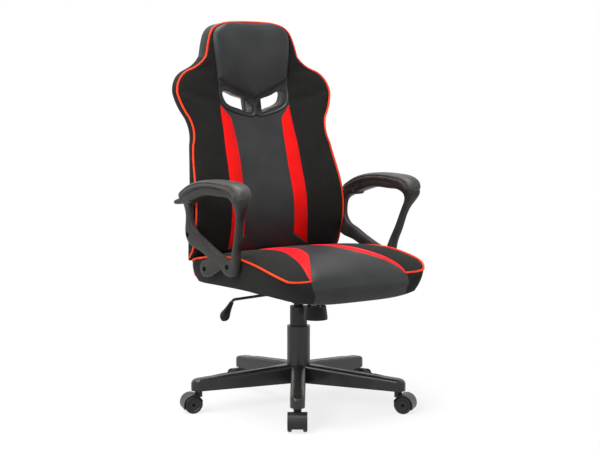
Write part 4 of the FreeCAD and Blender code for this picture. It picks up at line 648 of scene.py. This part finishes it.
def rounded_loop(corners, reach, count):
    """The smooth closed curve through two points beside each corner: at reach, or at 0.4 of a short edge."""
    corner = np.array(corners, float)
    ends = [np.roll(corner, 1, 0) - corner, np.roll(corner, -1, 0) - corner]
    shares = [np.minimum(reach / np.linalg.norm(edge, axis=1), 0.4)[:, None] for edge in ends]
    near = np.stack([corner + edge * share for edge, share in zip(ends, shares)], 1)
    return curve_through(near.reshape(-1, 2), count, closed=True)


def grown(loop, out):
    """The loop moved out along its own normals."""
    way = np.roll(loop, -1, 0) - np.roll(loop, 1, 0)
    normal = np.stack([way[:, 1], -way[:, 0]], 1) / np.linalg.norm(way, axis=1)[:, None]
    return loop + out * normal * np.sign(((loop - loop.mean(0)) * normal).sum())


def slot_plate():
    """The moulded plate: for each half, a closed profile from the outline over a rounded edge, down to the
    raised lip of the opening and through the slot to the rear. Points of the outline stand at the same angles
    about the opening's middle as points evenly spaced round the opening."""
    eye = rounded_loop(EYE_CORNERS, EYE_ROUND, 160)
    edge = rounded_loop(PLATE_CORNERS, PLATE_ROUND, 600) - EYE_MIDDLE
    angle, edge_angle = (np.arctan2(loop[:, 1], loop[:, 0]) for loop in (eye - EYE_MIDDLE, edge))
    reach = np.interp(angle, edge_angle, np.linalg.norm(edge, axis=1), period=2 * np.pi)
    plate = EYE_MIDDLE + reach[:, None] * np.stack([np.cos(angle), np.sin(angle)], 1)
    waist = np.stack([np.maximum(eye[:, 0], EYE_WAIST), eye[:, 1]], 1)
    loops = {"plate": plate, "eye": eye}
    shells = []
    for side in SIDES:
        rings = []
        for kind, out, depth in PLATE_PROFILE:
            ring = waist + out * np.sign(waist - EYE_MIDDLE) if kind == "waist" else grown(loops[kind], out)
            front, rear = back_faces_y(ring[:, 0], ring[:, 1])
            y = rear - REAR_INSET if depth is None else front + depth
            rings.append(np.stack([side * ring[:, 0], y, ring[:, 1]], 1))
        faces = grid_faces(len(rings), len(eye), closed_rows=True, closed_columns=True)
        shells.append((np.concatenate(rings), faces))
    made = piece("slot_plate", *joined(shells), [BEZEL_PLASTIC])
    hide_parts("slot_bezel")
    return made


def cut_slots(made):
    """The two strap slots go right through, so their prisms are cut from the finished cover."""
    for side in SIDES:
        points, faces = slot_prism(side)
        mesh = bpy.data.meshes.new("slot_cutter")
        mesh.from_pydata((points * MM).tolist(), [], faces)
        b = bmesh.new()
        b.from_mesh(mesh)
        bmesh.ops.recalc_face_normals(b, faces=b.faces)
        b.to_mesh(mesh)
        b.free()
        cutter = bpy.data.objects.new("slot_cutter", mesh)
        bpy.context.scene.collection.objects.link(cutter)
        cut = made.modifiers.new("slot", "BOOLEAN")
        cut.object = cutter
        cut.operation = "DIFFERENCE"
        cut.solver = "EXACT"
        bpy.context.view_layer.update()
        bake(made)
        bpy.data.objects.remove(cutter)
        bpy.data.meshes.remove(mesh)


def tube(path, radius, up, sides=10):
    """A round profile carried along the path: at each point it stands across the path, turned by the fixed up
    direction, and it closes to a point just past both ends."""
    p = np.asarray(path, float)
    along = np.gradient(p, axis=0)
    along /= np.linalg.norm(along, axis=1, keepdims=True)
    first, last = along[:1], along[-1:]
    past = 0.6
    p = np.concatenate([p[:1] - first * radius * past, p[:1], p, p[-1:], p[-1:] + last * radius * past])
    along = np.concatenate([first, first, along, last, last])
    size = np.concatenate([[POINT, 0.75], np.ones(len(p) - 4), [0.75, POINT]]) * radius
    side = np.cross(along, np.asarray(up, float))
    side /= np.linalg.norm(side, axis=1, keepdims=True)
    over = np.cross(side, along)
    angle = np.linspace(0, 2 * np.pi, sides, endpoint=False)
    ring = p[:, None] + size[:, None, None] * (np.cos(angle)[None, :, None] * side[:, None]
                                               + np.sin(angle)[None, :, None] * over[:, None])
    return ring, grid_faces(len(ring), sides, closed_columns=True)


def back_piping():
    """A round welt along the front's outline, from foot to foot over the top, swept back at the feet."""
    outline = back_outline()
    x, z = np.vstack([[(outline[0, 0], WELT_FOOT)], outline[1:]]).T
    top = arc(TOP_END, (0, BACK_TOP), (-TOP_END[0], TOP_END[1]), 30)[1:-1]
    x, z = np.concatenate([x, top[:, 0], -x[::-1]]), np.concatenate([z, top[:, 1], z[::-1]])
    walked = np.concatenate([[0], np.cumsum(np.hypot(np.diff(x), np.diff(z)))])
    keep = np.concatenate([[True], np.diff(walked) > 1e-6])
    even = np.linspace(0, walked[-1], 420)
    x, z = np.interp(even, walked[keep], x[keep]), np.interp(even, walked[keep], z[keep])
    swept = np.clip((WELT_TURN - z) / (WELT_TURN - WELT_FOOT), 0, 1) ** 2
    y = back_faces_y(x, z)[0] + WELT_BEHIND + WELT_SWEEP * swept
    x = x + np.sign(x) * WELT_OUT * swept
    points, faces = tube(np.stack([x, y, z], 1), BACK_WELT_R, (0, 1, 0))
    made = piece("back_piping", points, faces, [PIPING_PU])
    return made


# Seat
def seat_values(u):
    """y, half width, underside, edge and crown of the seat at place u, by splines over the rows' numbers."""
    table = np.array(SEAT_ROWS, float)
    return [smooth(np.arange(len(table)), column, u) for column in table.T]


def seat_upholstery():
    """The padded seat: at each row a ring of the crowned top, a side that bows out, and the underside with a
    pocket for the board; the nose and the rear are closed by rows that draw top and underside together."""
    u = np.linspace(0, len(SEAT_ROWS) - 1, SEAT_STEPS)[:, None]
    y, half, low, edge, crown = seat_values(u)
    panel = np.minimum(smooth(*SEAT_PANEL_LINE, y), half - PANEL_MARGIN)
    stripe = np.minimum(smooth(*SEAT_STRIPE_LINE, y), half - STRIPE_MARGIN)
    x = between_lines(*zoned(SEAT_COLUMNS), [0 * half, panel, stripe, half])
    column = np.arange(x.shape[1])[None, :]
    at_panel, at_stripe = SEAT_COLUMNS[0], sum(SEAT_COLUMNS[:2])
    sewn = (column == at_panel) & (y > SEAT_NOSE_Y)
    sewn = sewn | ((column == at_stripe) & (half > STRIPE_SEAM_HALF_W))
    top = edge + crown * (1 - (x / half) ** 2)
    top = top - np.where(sewn, SEAT_SEAM_DEPTH, 0)
    top = top - edge_drop(half - x, SEAT_ROUND_IN, SEAT_ROUND_DOWN)
    # underside columns: to the nose seam's foot, to the board's edge, over its step, to the side
    foot = half - smooth(np.arange(len(SEAT_ROWS)), SEAT_TUCK, u)
    step = np.minimum(BOARD_HALF_W + BOARD_STEP, foot - 2)
    under_lines = [0 * foot, np.minimum(NOSE_SEAM_X, foot - 4),
                   np.minimum(BOARD_HALF_W + BOARD_GAP, foot - 3), step, foot]
    under_x = between_lines(*zoned(UNDER_COLUMNS), under_lines)
    inside = np.minimum(y - BOARD_FRONT + BOARD_STEP, BOARD_REAR + BOARD_STEP - y)
    inside = np.minimum(step - 0.5 - under_x, inside)
    curl = np.interp(y, *SEAT_CURL)
    base = low + curl * (under_x / foot) ** 4
    under = base + (BOARD_TOP + BOARD_OVER - base) * np.clip(inside / 2.0, 0, 1)
    # side: the arc from the foot through its bulge to the edge, as a curve of the second degree
    k = np.linspace(0, 1, SIDE_COLUMNS + 2)[1:-1]
    middle_x, edge_z = (half + foot) / 2 + SEAT_BULGE, top[:, -1:]
    bow_x = half * (1 - k) * (1 - 2 * k) + 4 * middle_x * k * (1 - k) + foot * k * (2 * k - 1)
    bow_z = edge_z + (low + curl - edge_z) * k

    def section(across, up):
        """Points of every row at its own y."""
        return np.stack([across, np.broadcast_to(y, across.shape), up], -1)

    top_ring = section(mirrored(x, -1), mirrored(top))
    under_ring = section(mirrored(under_x, -1), mirrored(under))[:, ::-1]
    right, left = section(bow_x, bow_z), section(-bow_x, bow_z)[:, ::-1]
    ring = np.concatenate([top_ring, right, under_ring, left], 1)
    width = top_ring.shape[1]

    def closing_rows(number, push):
        """The row's ring drawn in steps to a line halfway up, which is pushed out along y."""
        line = END_WIDTH * top_ring[number]
        line[:, 1] = y[number, 0] + push
        line[:, 2] = 0.5 * (edge[number, 0] + low[number, 0])
        shut = np.concatenate([line, np.repeat(line[-1:], SIDE_COLUMNS, 0), line[::-1],
                               np.repeat(line[:1], SIDE_COLUMNS, 0)])
        return [ring[number] + (shut - ring[number]) * [s ** 2, math.sin(math.pi * s / 2), s]
                for s in CLOSING_STEPS]

    points = np.concatenate([closing_rows(0, -END_PUSH)[::-1], ring, closing_rows(-1, END_PUSH)], 0)
    count, ends = points.shape[1], len(CLOSING_STEPS)
    # finishes: the panels and stripes of the top, and the charcoal nose, which goes round underneath
    faces = grid_faces(len(points), count, closed_columns=True)
    j, i = np.divmod(np.arange(len(faces)), count)
    at_y = points.reshape(-1, 3)[faces].mean(1)[:, 1]
    first_under = width + SIDE_COLUMNS
    is_under = (i >= first_under) & (i < first_under + width - 1)
    cell = np.where(i < width - 1, np.abs(i - width // 2 + 0.5) - 0.5, NO_CELL)
    under_cell = np.where(is_under, np.abs(i - first_under - width // 2 + 0.5) - 0.5, NO_CELL)
    at_front, on_nose = at_y < SEAT_NOSE_Y, under_cell < UNDER_COLUMNS[0]
    finish = np.full(len(faces), KNIT)
    finish[(cell < at_panel) | ((cell < at_stripe) & at_front)] = PANEL
    finish[(cell >= at_panel) & (cell < at_stripe) & ~at_front] = STRIPE
    finish[on_nose & (at_y < NOSE_PANEL_Y)] = PANEL
    finish[(j < ends) & ((cell < at_stripe) | on_nose)] = PANEL
    finish[j >= len(points) - 1 - ends] = KNIT
    fixed = sewn | (column >= x.shape[1] - 1) | (y > HELD_REAR_Y) | (y < HELD_NOSE_Y)
    held = np.ones(points.shape[:2])
    held[ends:-ends, :width] = mirrored(fixed)
    made = piece("seat_upholstery", points, faces, COVER, finish, held)
    stuff(made, cap=8.0)
    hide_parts("seat_cushion")
    return made


def seat_piping(side):
    """A round welt up the seat's rear corner, along its edge to the front corner and across to the nose."""
    y, half, _, edge, _ = seat_values(np.linspace(*SEAT_WELT_ROWS, 200))
    run = np.stack([half - SEAT_WELT_IN, y, edge - SEAT_WELT_DOWN], 1)[::-1]
    path = curve_through(np.concatenate([SEAT_WELT_REAR, run[::6], SEAT_WELT_NOSE]), 240)
    path[:, 0] *= side
    points, faces = tube(path, SEAT_WELT_R, (0, 0, 1))
    made = piece("seat_piping_" + SIDES[side], points, faces, [PIPING_PU])
    return made


# Base
LEGS, FIRST_LEG_DEG = 5, -124.4
# The middle line of a leg's top: distances from the column, and its heights there.
LEG_TOP = ((17, 300), (123, 96))
RIB_FROM, RIB_TO, RIB_OFF, RIB_R, RIB_SUNK, RIB_RUN_OUT = 42.0, 272.0, 11.5, 3.0, 1.9, 45.0


def leg_ribs(number):
    """Two rounded ribs along the top of a leg: straight tubes beside its middle line, sunk by a part of their
    radius and deeper towards both ends, as a parabola."""
    turn = math.radians(FIRST_LEG_DEG + number * 360 / LEGS)
    out = np.array([math.cos(turn), math.sin(turn), 0.0])
    beside = np.array([-out[1], out[0], 0.0])
    r = np.linspace(RIB_FROM, RIB_TO, 24)
    shells = []
    for off in (-RIB_OFF, RIB_OFF):
        path = out * r[:, None] + beside * off
        ends = 1 - np.clip(np.minimum(r - RIB_FROM, RIB_TO - r) / RIB_RUN_OUT, 0, 1)
        path[:, 2] = np.interp(r, *LEG_TOP) - RIB_SUNK - RIB_R * ends ** 2
        shells.append(tube(path, RIB_R, (0, 0, 1)))
    made = piece("leg_ribs_%d" % (number + 1), *joined(shells), [BASE_NYLON])
    return made


# Tilt spring
SPRING_R, SPRING_WIRE_R, SPRING_TURNS, SPRING_Y = 14.0, 2.0, 5, -88.0
SPRING_FOOT, SPRING_TOP = 280.15, 317.85


def tension_coils():
    """A round wire on a helix over the knob."""
    share = np.linspace(0, 1, 36 * SPRING_TURNS + 1)
    angle = 2 * np.pi * SPRING_TURNS * share
    path = np.stack([SPRING_R * np.cos(angle), SPRING_Y + SPRING_R * np.sin(angle),
                     SPRING_FOOT + (SPRING_TOP - SPRING_FOOT) * share], 1)
    points, faces = tube(path, SPRING_WIRE_R, (0, 0, 1))
    made = piece("tension_coils", points, faces, [BRIGHT_STEEL])
    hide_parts("tension_spring")
    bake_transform(made)


# Arms
# Stations round the arm's loop, seen from the side: outer y z, inner y z, then inner and outer face x.
ARM_LOOP = ((-179, 622, -136, 612, 270, 312), (-167, 642, -121, 622, 267, 312),
            (-100, 652, -75, 626, 266, 312), (-20, 655, -10, 627, 266, 312), (50, 647, 42, 619, 266, 312),
            (115, 628, 92, 605, 266, 311), (156, 611, 120, 596, 265, 303), (172, 592, 136, 584, 264, 288),
            (171, 567, 139, 566, 264, 281), (173, 539, 139, 545, 263, 279.5),
            (177, 508, 134, 530, 260, 279.5), (166, 483, 121, 516, 257, 279.5),
            (100, 462, 84, 500, 256.6, 279.5),
            (58, 449, 50, 486, 256.6, 279.5), (20, 436, 10, 471, 256.6, 279.5),
            (-8, 428, -20, 461, 256.6, 279.5), (-24, 420, -38, 456, 256.6, 279.5),
            (-40, 410, -52, 453, 256.6, 279.5), (-64, 405, -62, 452, 256.6, 279.5),
            (-90, 410, -70, 454, 256.6, 279.5), (-104, 428, -78, 458, 256.6, 279.5),
            (-107, 448, -82, 464, 257, 281), (-112, 476, -92, 486, 260, 283),
            (-126, 508, -106, 514, 264, 286), (-138, 545, -119, 545, 268, 290),
            (-154, 580, -133, 578, 271, 297), (-171, 603, -139, 598, 272, 306))
# The boss behind the loop's foot, from inside the loop to its round end: y z of its middle, half height.
ARM_BOSS = ((-16, 440, 17), (8, 434, 23), (34, 426, 25), (54, 417, 25), (67, 414, 25))
# The tip behind the loop's top, under the pad's rear end.
ARM_TIP = ((96, 612, 13), (132, 606, 11.5), (165, 600, 9), (188, 595.5, 7))
# Both lobes, each with x of its middle and its half thickness.
ARM_LOBES = ((ARM_BOSS, 268.0, 11.4), (ARM_TIP, 287.0, 21.0))
# How square the sections are, as a superellipse's power, and the sides of the loop's section.
ARM_POWER, PAD_POWER, ARM_SIDES = 3.2, 2.7, 28
# The pad: its top y z, its underside y z, from the front bulb to the rear end.
ARM_PAD = ((-161, 617, -137, 622), (-174, 620, -135, 626), (-183, 631, -133, 630), (-181, 646, -130, 634),
           (-170, 657, -126, 637), (-152, 665, -120, 640), (-104, 671, -97, 645), (-28, 672, -26, 649),
           (34, 667, 32, 644), (104, 650, 97, 626), (140, 634, 129, 614), (160, 623, 149, 607),
           (173, 613, 163, 602))
PAD_X, PAD_HALF_W, PAD_SIDES = 289.0, 29.0, 96
# Its width from front to rear, and the shares of its length over which its two ends round off.
PAD_WIDTHS = ((0, 0.12, 0.3, 0.8, 1), (0.72, 0.9, 1, 0.97, 0.8))
PAD_FRONT_ROUND, PAD_REAR_ROUND = 0.07, 0.10
# The sunk lines along each side: their angles from the top, their width and their depth as a share.
PAD_LINES, PAD_LINE_W, PAD_LINE_DEPTH = (1.45, 2.1), 0.1, 0.13


def rounded_section(centre, radial, half_r, half_x, angle, power):
    """A superellipse: its cosine and sine are raised to 2 / power, along the radial direction and along x."""
    c, s = np.cos(angle), np.sin(angle)
    r = (np.sign(c) * np.abs(c) ** (2 / power))[None, :] * half_r[:, None]
    w = (np.sign(s) * np.abs(s) ** (2 / power))[None, :] * half_x[:, None]
    yz = centre[:, None, 1:] + r[..., None] * radial[:, None]
    return np.concatenate([(centre[:, None, 0] + w)[..., None], yz], -1)


def arm_lobe(rows, middle_x, half_x, angle):
    """A rounded bar through the rows, each y z of its middle and its half height, with a round end where the
    half heights fall as a quarter circle; it starts from a point inside the loop."""
    bar = curve_through(rows, 14)
    turn = np.linspace(0, math.pi / 2, 12)[1:]
    along = bar[-1, :2] - bar[-2, :2]
    along /= np.linalg.norm(along)
    end = np.column_stack([bar[-1, :2] + along * bar[-1, 2] * np.sin(turn)[:, None],
                           np.maximum(bar[-1, 2] * np.cos(turn), POINT)])
    bar = np.concatenate([[[*bar[0, :2], POINT]], bar, end])
    way = np.gradient(bar[:, :2], axis=0)
    way /= np.maximum(np.linalg.norm(way, axis=1, keepdims=True), 1e-9)
    across = np.stack([-way[:, 1], way[:, 0]], 1)
    thick = np.where(bar[:, 2] < 10 * POINT, POINT, half_x * (bar[:, 2] / bar[:, 2].max()) ** 0.3)
    centre = np.column_stack([np.full(len(bar), middle_x), bar[:, :2]])
    return rounded_section(centre, across, bar[:, 2], thick, angle, ARM_POWER)


def arm_frame(side):
    """A rounded bar carried round the arm's closed loop, a boss carried out of its foot and a tip out of its
    top."""
    station = curve_through(ARM_LOOP, 190, closed=True)
    outer, inner = station[:, :2], station[:, 2:4]
    angle = np.linspace(0, 2 * np.pi, ARM_SIDES, endpoint=False)
    centre = np.concatenate([station[:, 4:].mean(1, keepdims=True), (outer + inner) / 2], 1)
    size = np.linalg.norm(outer - inner, axis=1)
    thick = (station[:, 5] - station[:, 4]) / 2
    loop = rounded_section(centre, (outer - inner) / size[:, None], size / 2, thick, angle, ARM_POWER)
    shells = [(loop, grid_faces(len(loop), ARM_SIDES, closed_rows=True, closed_columns=True))]
    for rows, middle_x, half_x in ARM_LOBES:
        lobe = arm_lobe(rows, middle_x, half_x, angle)
        shells.append((lobe, grid_faces(len(lobe), ARM_SIDES, closed_columns=True)))
    points, faces = joined(shells)
    points[:, 0] *= side
    made = piece("arm_loop_" + SIDES[side], points, faces, [ARM_PLASTIC])
    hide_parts("arm_frame_" + SIDES[side])
    return made


def arm_pad(side):
    """A rounded section carried along the arm's top from the front bulb to the rear tip, closed to a point at
    both ends, with two sunk lines along each side."""
    station = curve_through(ARM_PAD, 96)
    top, under = station[:, :2], station[:, 2:]
    size = np.linalg.norm(top - under, axis=1)
    u = np.linspace(0, 1, len(station))
    full = np.sqrt(np.clip(np.minimum(u / PAD_FRONT_ROUND, (1 - u) / PAD_REAR_ROUND), 0, 1))
    full = np.maximum(np.sin(full * math.pi / 2), POINT)
    half_x = PAD_HALF_W * full * np.interp(u, *PAD_WIDTHS)
    angle = np.linspace(0, 2 * np.pi, PAD_SIDES, endpoint=False)
    centre = np.concatenate([np.full((len(top), 1), PAD_X), (top + under) / 2], 1)
    upward = (top - under) / size[:, None]
    ring = rounded_section(centre, upward, size / 2 * full, half_x, angle, PAD_POWER)
    # sunk lines: the section shrinks by a narrow bell at four angles, fading towards the ends
    lines = (*PAD_LINES, *(2 * np.pi - at for at in PAD_LINES))
    dip = sum(np.exp(-((angle - at) / PAD_LINE_W) ** 2) for at in lines)
    shrink = 1 - PAD_LINE_DEPTH * dip[None, :, None] * full[:, None, None]
    ring = centre[:, None] + (ring - centre[:, None]) * shrink
    ring[..., 0] *= side
    faces = grid_faces(len(ring), PAD_SIDES, closed_columns=True)
    made = piece("arm_rest_" + SIDES[side], ring, faces, [PAD_SKIN])
    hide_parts("arm_pad_" + SIDES[side])
    return made


# Stage
# Metres and watts: the height that the lamps point at, then each lamp's place, size and power.
WORLD_LIGHT, LAMP_AIM_Z, FLOOR_HALF = 0.18, 0.5, 30
LAMPS = (("key_lamp", (-3.3, -1.3, 2.6), 2.2, 120), ("fill_lamp", (2.4, -3.0, 2.0), 2.4, 16),
         ("top_lamp", (-0.4, 0.2, 3.6), 2.6, 165))
# The floor's shadow fades out between these distances from the column.
SHADOW_FROM, SHADOW_TO = 0.25, 0.95
CAMERA_AZIMUTH_DEG, CAMERA_ELEVATION_DEG, CAMERA_DISTANCE = -33.92, 5.85, 3.879
CAMERA_AIM_Z, CAMERA_AIM_RIGHT, LENS_MM, SENSOR_MM = 0.5276, 0.0042, 80.46, 36.0


def seen_ray(owner):
    """1 for a ray from the camera, off a gloss or through a clear piece; 0 for one that carries light."""
    ray = add_node(owner, "ShaderNodeLightPath")
    gloss = add_node(owner, "ShaderNodeMath", {0: (ray, "Is Glossy Ray"), 1: (ray, "Is Transmission Ray")},
                     operation="MAXIMUM")
    return add_node(owner, "ShaderNodeMath", {0: (ray, "Is Camera Ray"), 1: (gloss, "Value")},
                    operation="MAXIMUM")


def studio():
    """White floor and surround, soft lamps, and the camera at the photograph's place."""
    scene = bpy.context.scene
    scene.view_settings.view_transform = "Standard"
    world = bpy.data.worlds.new("white_surround")
    scene.world = world
    world.use_nodes = True
    # what a camera, a gloss or a clear piece sees is white; what lights the chair is weaker
    shade = world.node_tree.nodes["Background"]
    shade.inputs["Color"].default_value = (1, 1, 1, 1)
    add_node(world, "ShaderNodeMapRange",
             {"Value": (seen_ray(world), "Value"), "To Min": WORLD_LIGHT, "To Max": 1.0},
             ("Result", shade, "Strength"))
    # the floor: white paper near the chair, where its shadow lies, and plain white further off
    constants = {"Base Color": linear("#fafafa"), "Roughness": 0.9, "Specular IOR Level": 0.1}
    paper, paper_shader, place = finish_named("floor_white_paper", constants)
    away = add_node(paper, "ShaderNodeVectorMath", {0: place}, operation="LENGTH")
    fade = add_node(paper, "ShaderNodeMapRange",
                    {"Value": (away, "Value"), "From Min": SHADOW_FROM, "From Max": SHADOW_TO,
                     "To Min": 0.8, "To Max": 1.0}, interpolation_type="SMOOTHSTEP")
    amount = add_node(paper, "ShaderNodeMath", {0: (seen_ray(paper), "Value"), 1: (fade, "Result")},
                      operation="MULTIPLY")
    white = add_node(paper, "ShaderNodeEmission", {"Strength": 1.0})
    add_node(paper, "ShaderNodeMixShader",
             {0: (amount, "Value"), 1: (paper_shader, "BSDF"), 2: (white, "Emission")},
             ("Shader", paper.node_tree.nodes["Material Output"], "Surface"))
    floor_mesh = bpy.data.meshes.new("floor")
    corners = [(FLOOR_HALF * x, FLOOR_HALF * y, 0) for x, y in ((-1, -1), (1, -1), (1, 1), (-1, 1))]
    floor_mesh.from_pydata(corners, [], [(0, 1, 2, 3)])
    floor_mesh.materials.append(paper)
    floor = bpy.data.objects.new("floor", floor_mesh)
    scene.collection.objects.link(floor)
    for name, place, size, power in LAMPS:
        lamp = bpy.data.lights.new(name, "AREA")
        lamp.shape, lamp.size, lamp.energy = "DISK", size, power
        made = bpy.data.objects.new(name, lamp)
        scene.collection.objects.link(made)
        made.location = place
        aim = np.array([0, 0, LAMP_AIM_Z]) - place
        tip = math.atan2(math.hypot(aim[0], aim[1]), -aim[2])
        made.rotation_euler = (tip, 0, math.atan2(aim[0], -aim[1]) + math.pi)
    azimuth, elevation = math.radians(CAMERA_AZIMUTH_DEG), math.radians(CAMERA_ELEVATION_DEG)
    back = np.array([math.sin(azimuth) * math.cos(elevation), -math.cos(azimuth) * math.cos(elevation),
                     math.sin(elevation)])
    right = np.array([math.cos(azimuth), math.sin(azimuth), 0.0])
    up = np.cross(back, right)
    stand = np.array([0, 0, CAMERA_AIM_Z]) + right * CAMERA_AIM_RIGHT + back * CAMERA_DISTANCE
    lens = bpy.data.cameras.new("camera")
    lens.sensor_fit, lens.sensor_width, lens.lens = "HORIZONTAL", SENSOR_MM, LENS_MM
    camera = bpy.data.objects.new("camera", lens)
    scene.collection.objects.link(camera)
    camera.matrix_world = Matrix([*np.column_stack([right, up, back, stand]).tolist(), [0, 0, 0, 1]])
    scene.camera = camera


studio()
finish_cad_nodes()
tension_coils()
on_seat = [back_upholstery(), slot_plate(), back_piping(), seat_upholstery()]
for side in SIDES:
    on_seat += [seat_piping(side), arm_frame(side), arm_pad(side)]
for made in on_seat:
    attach(made, "seat")
for number in range(LEGS):
    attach(leg_ribs(number), "base")
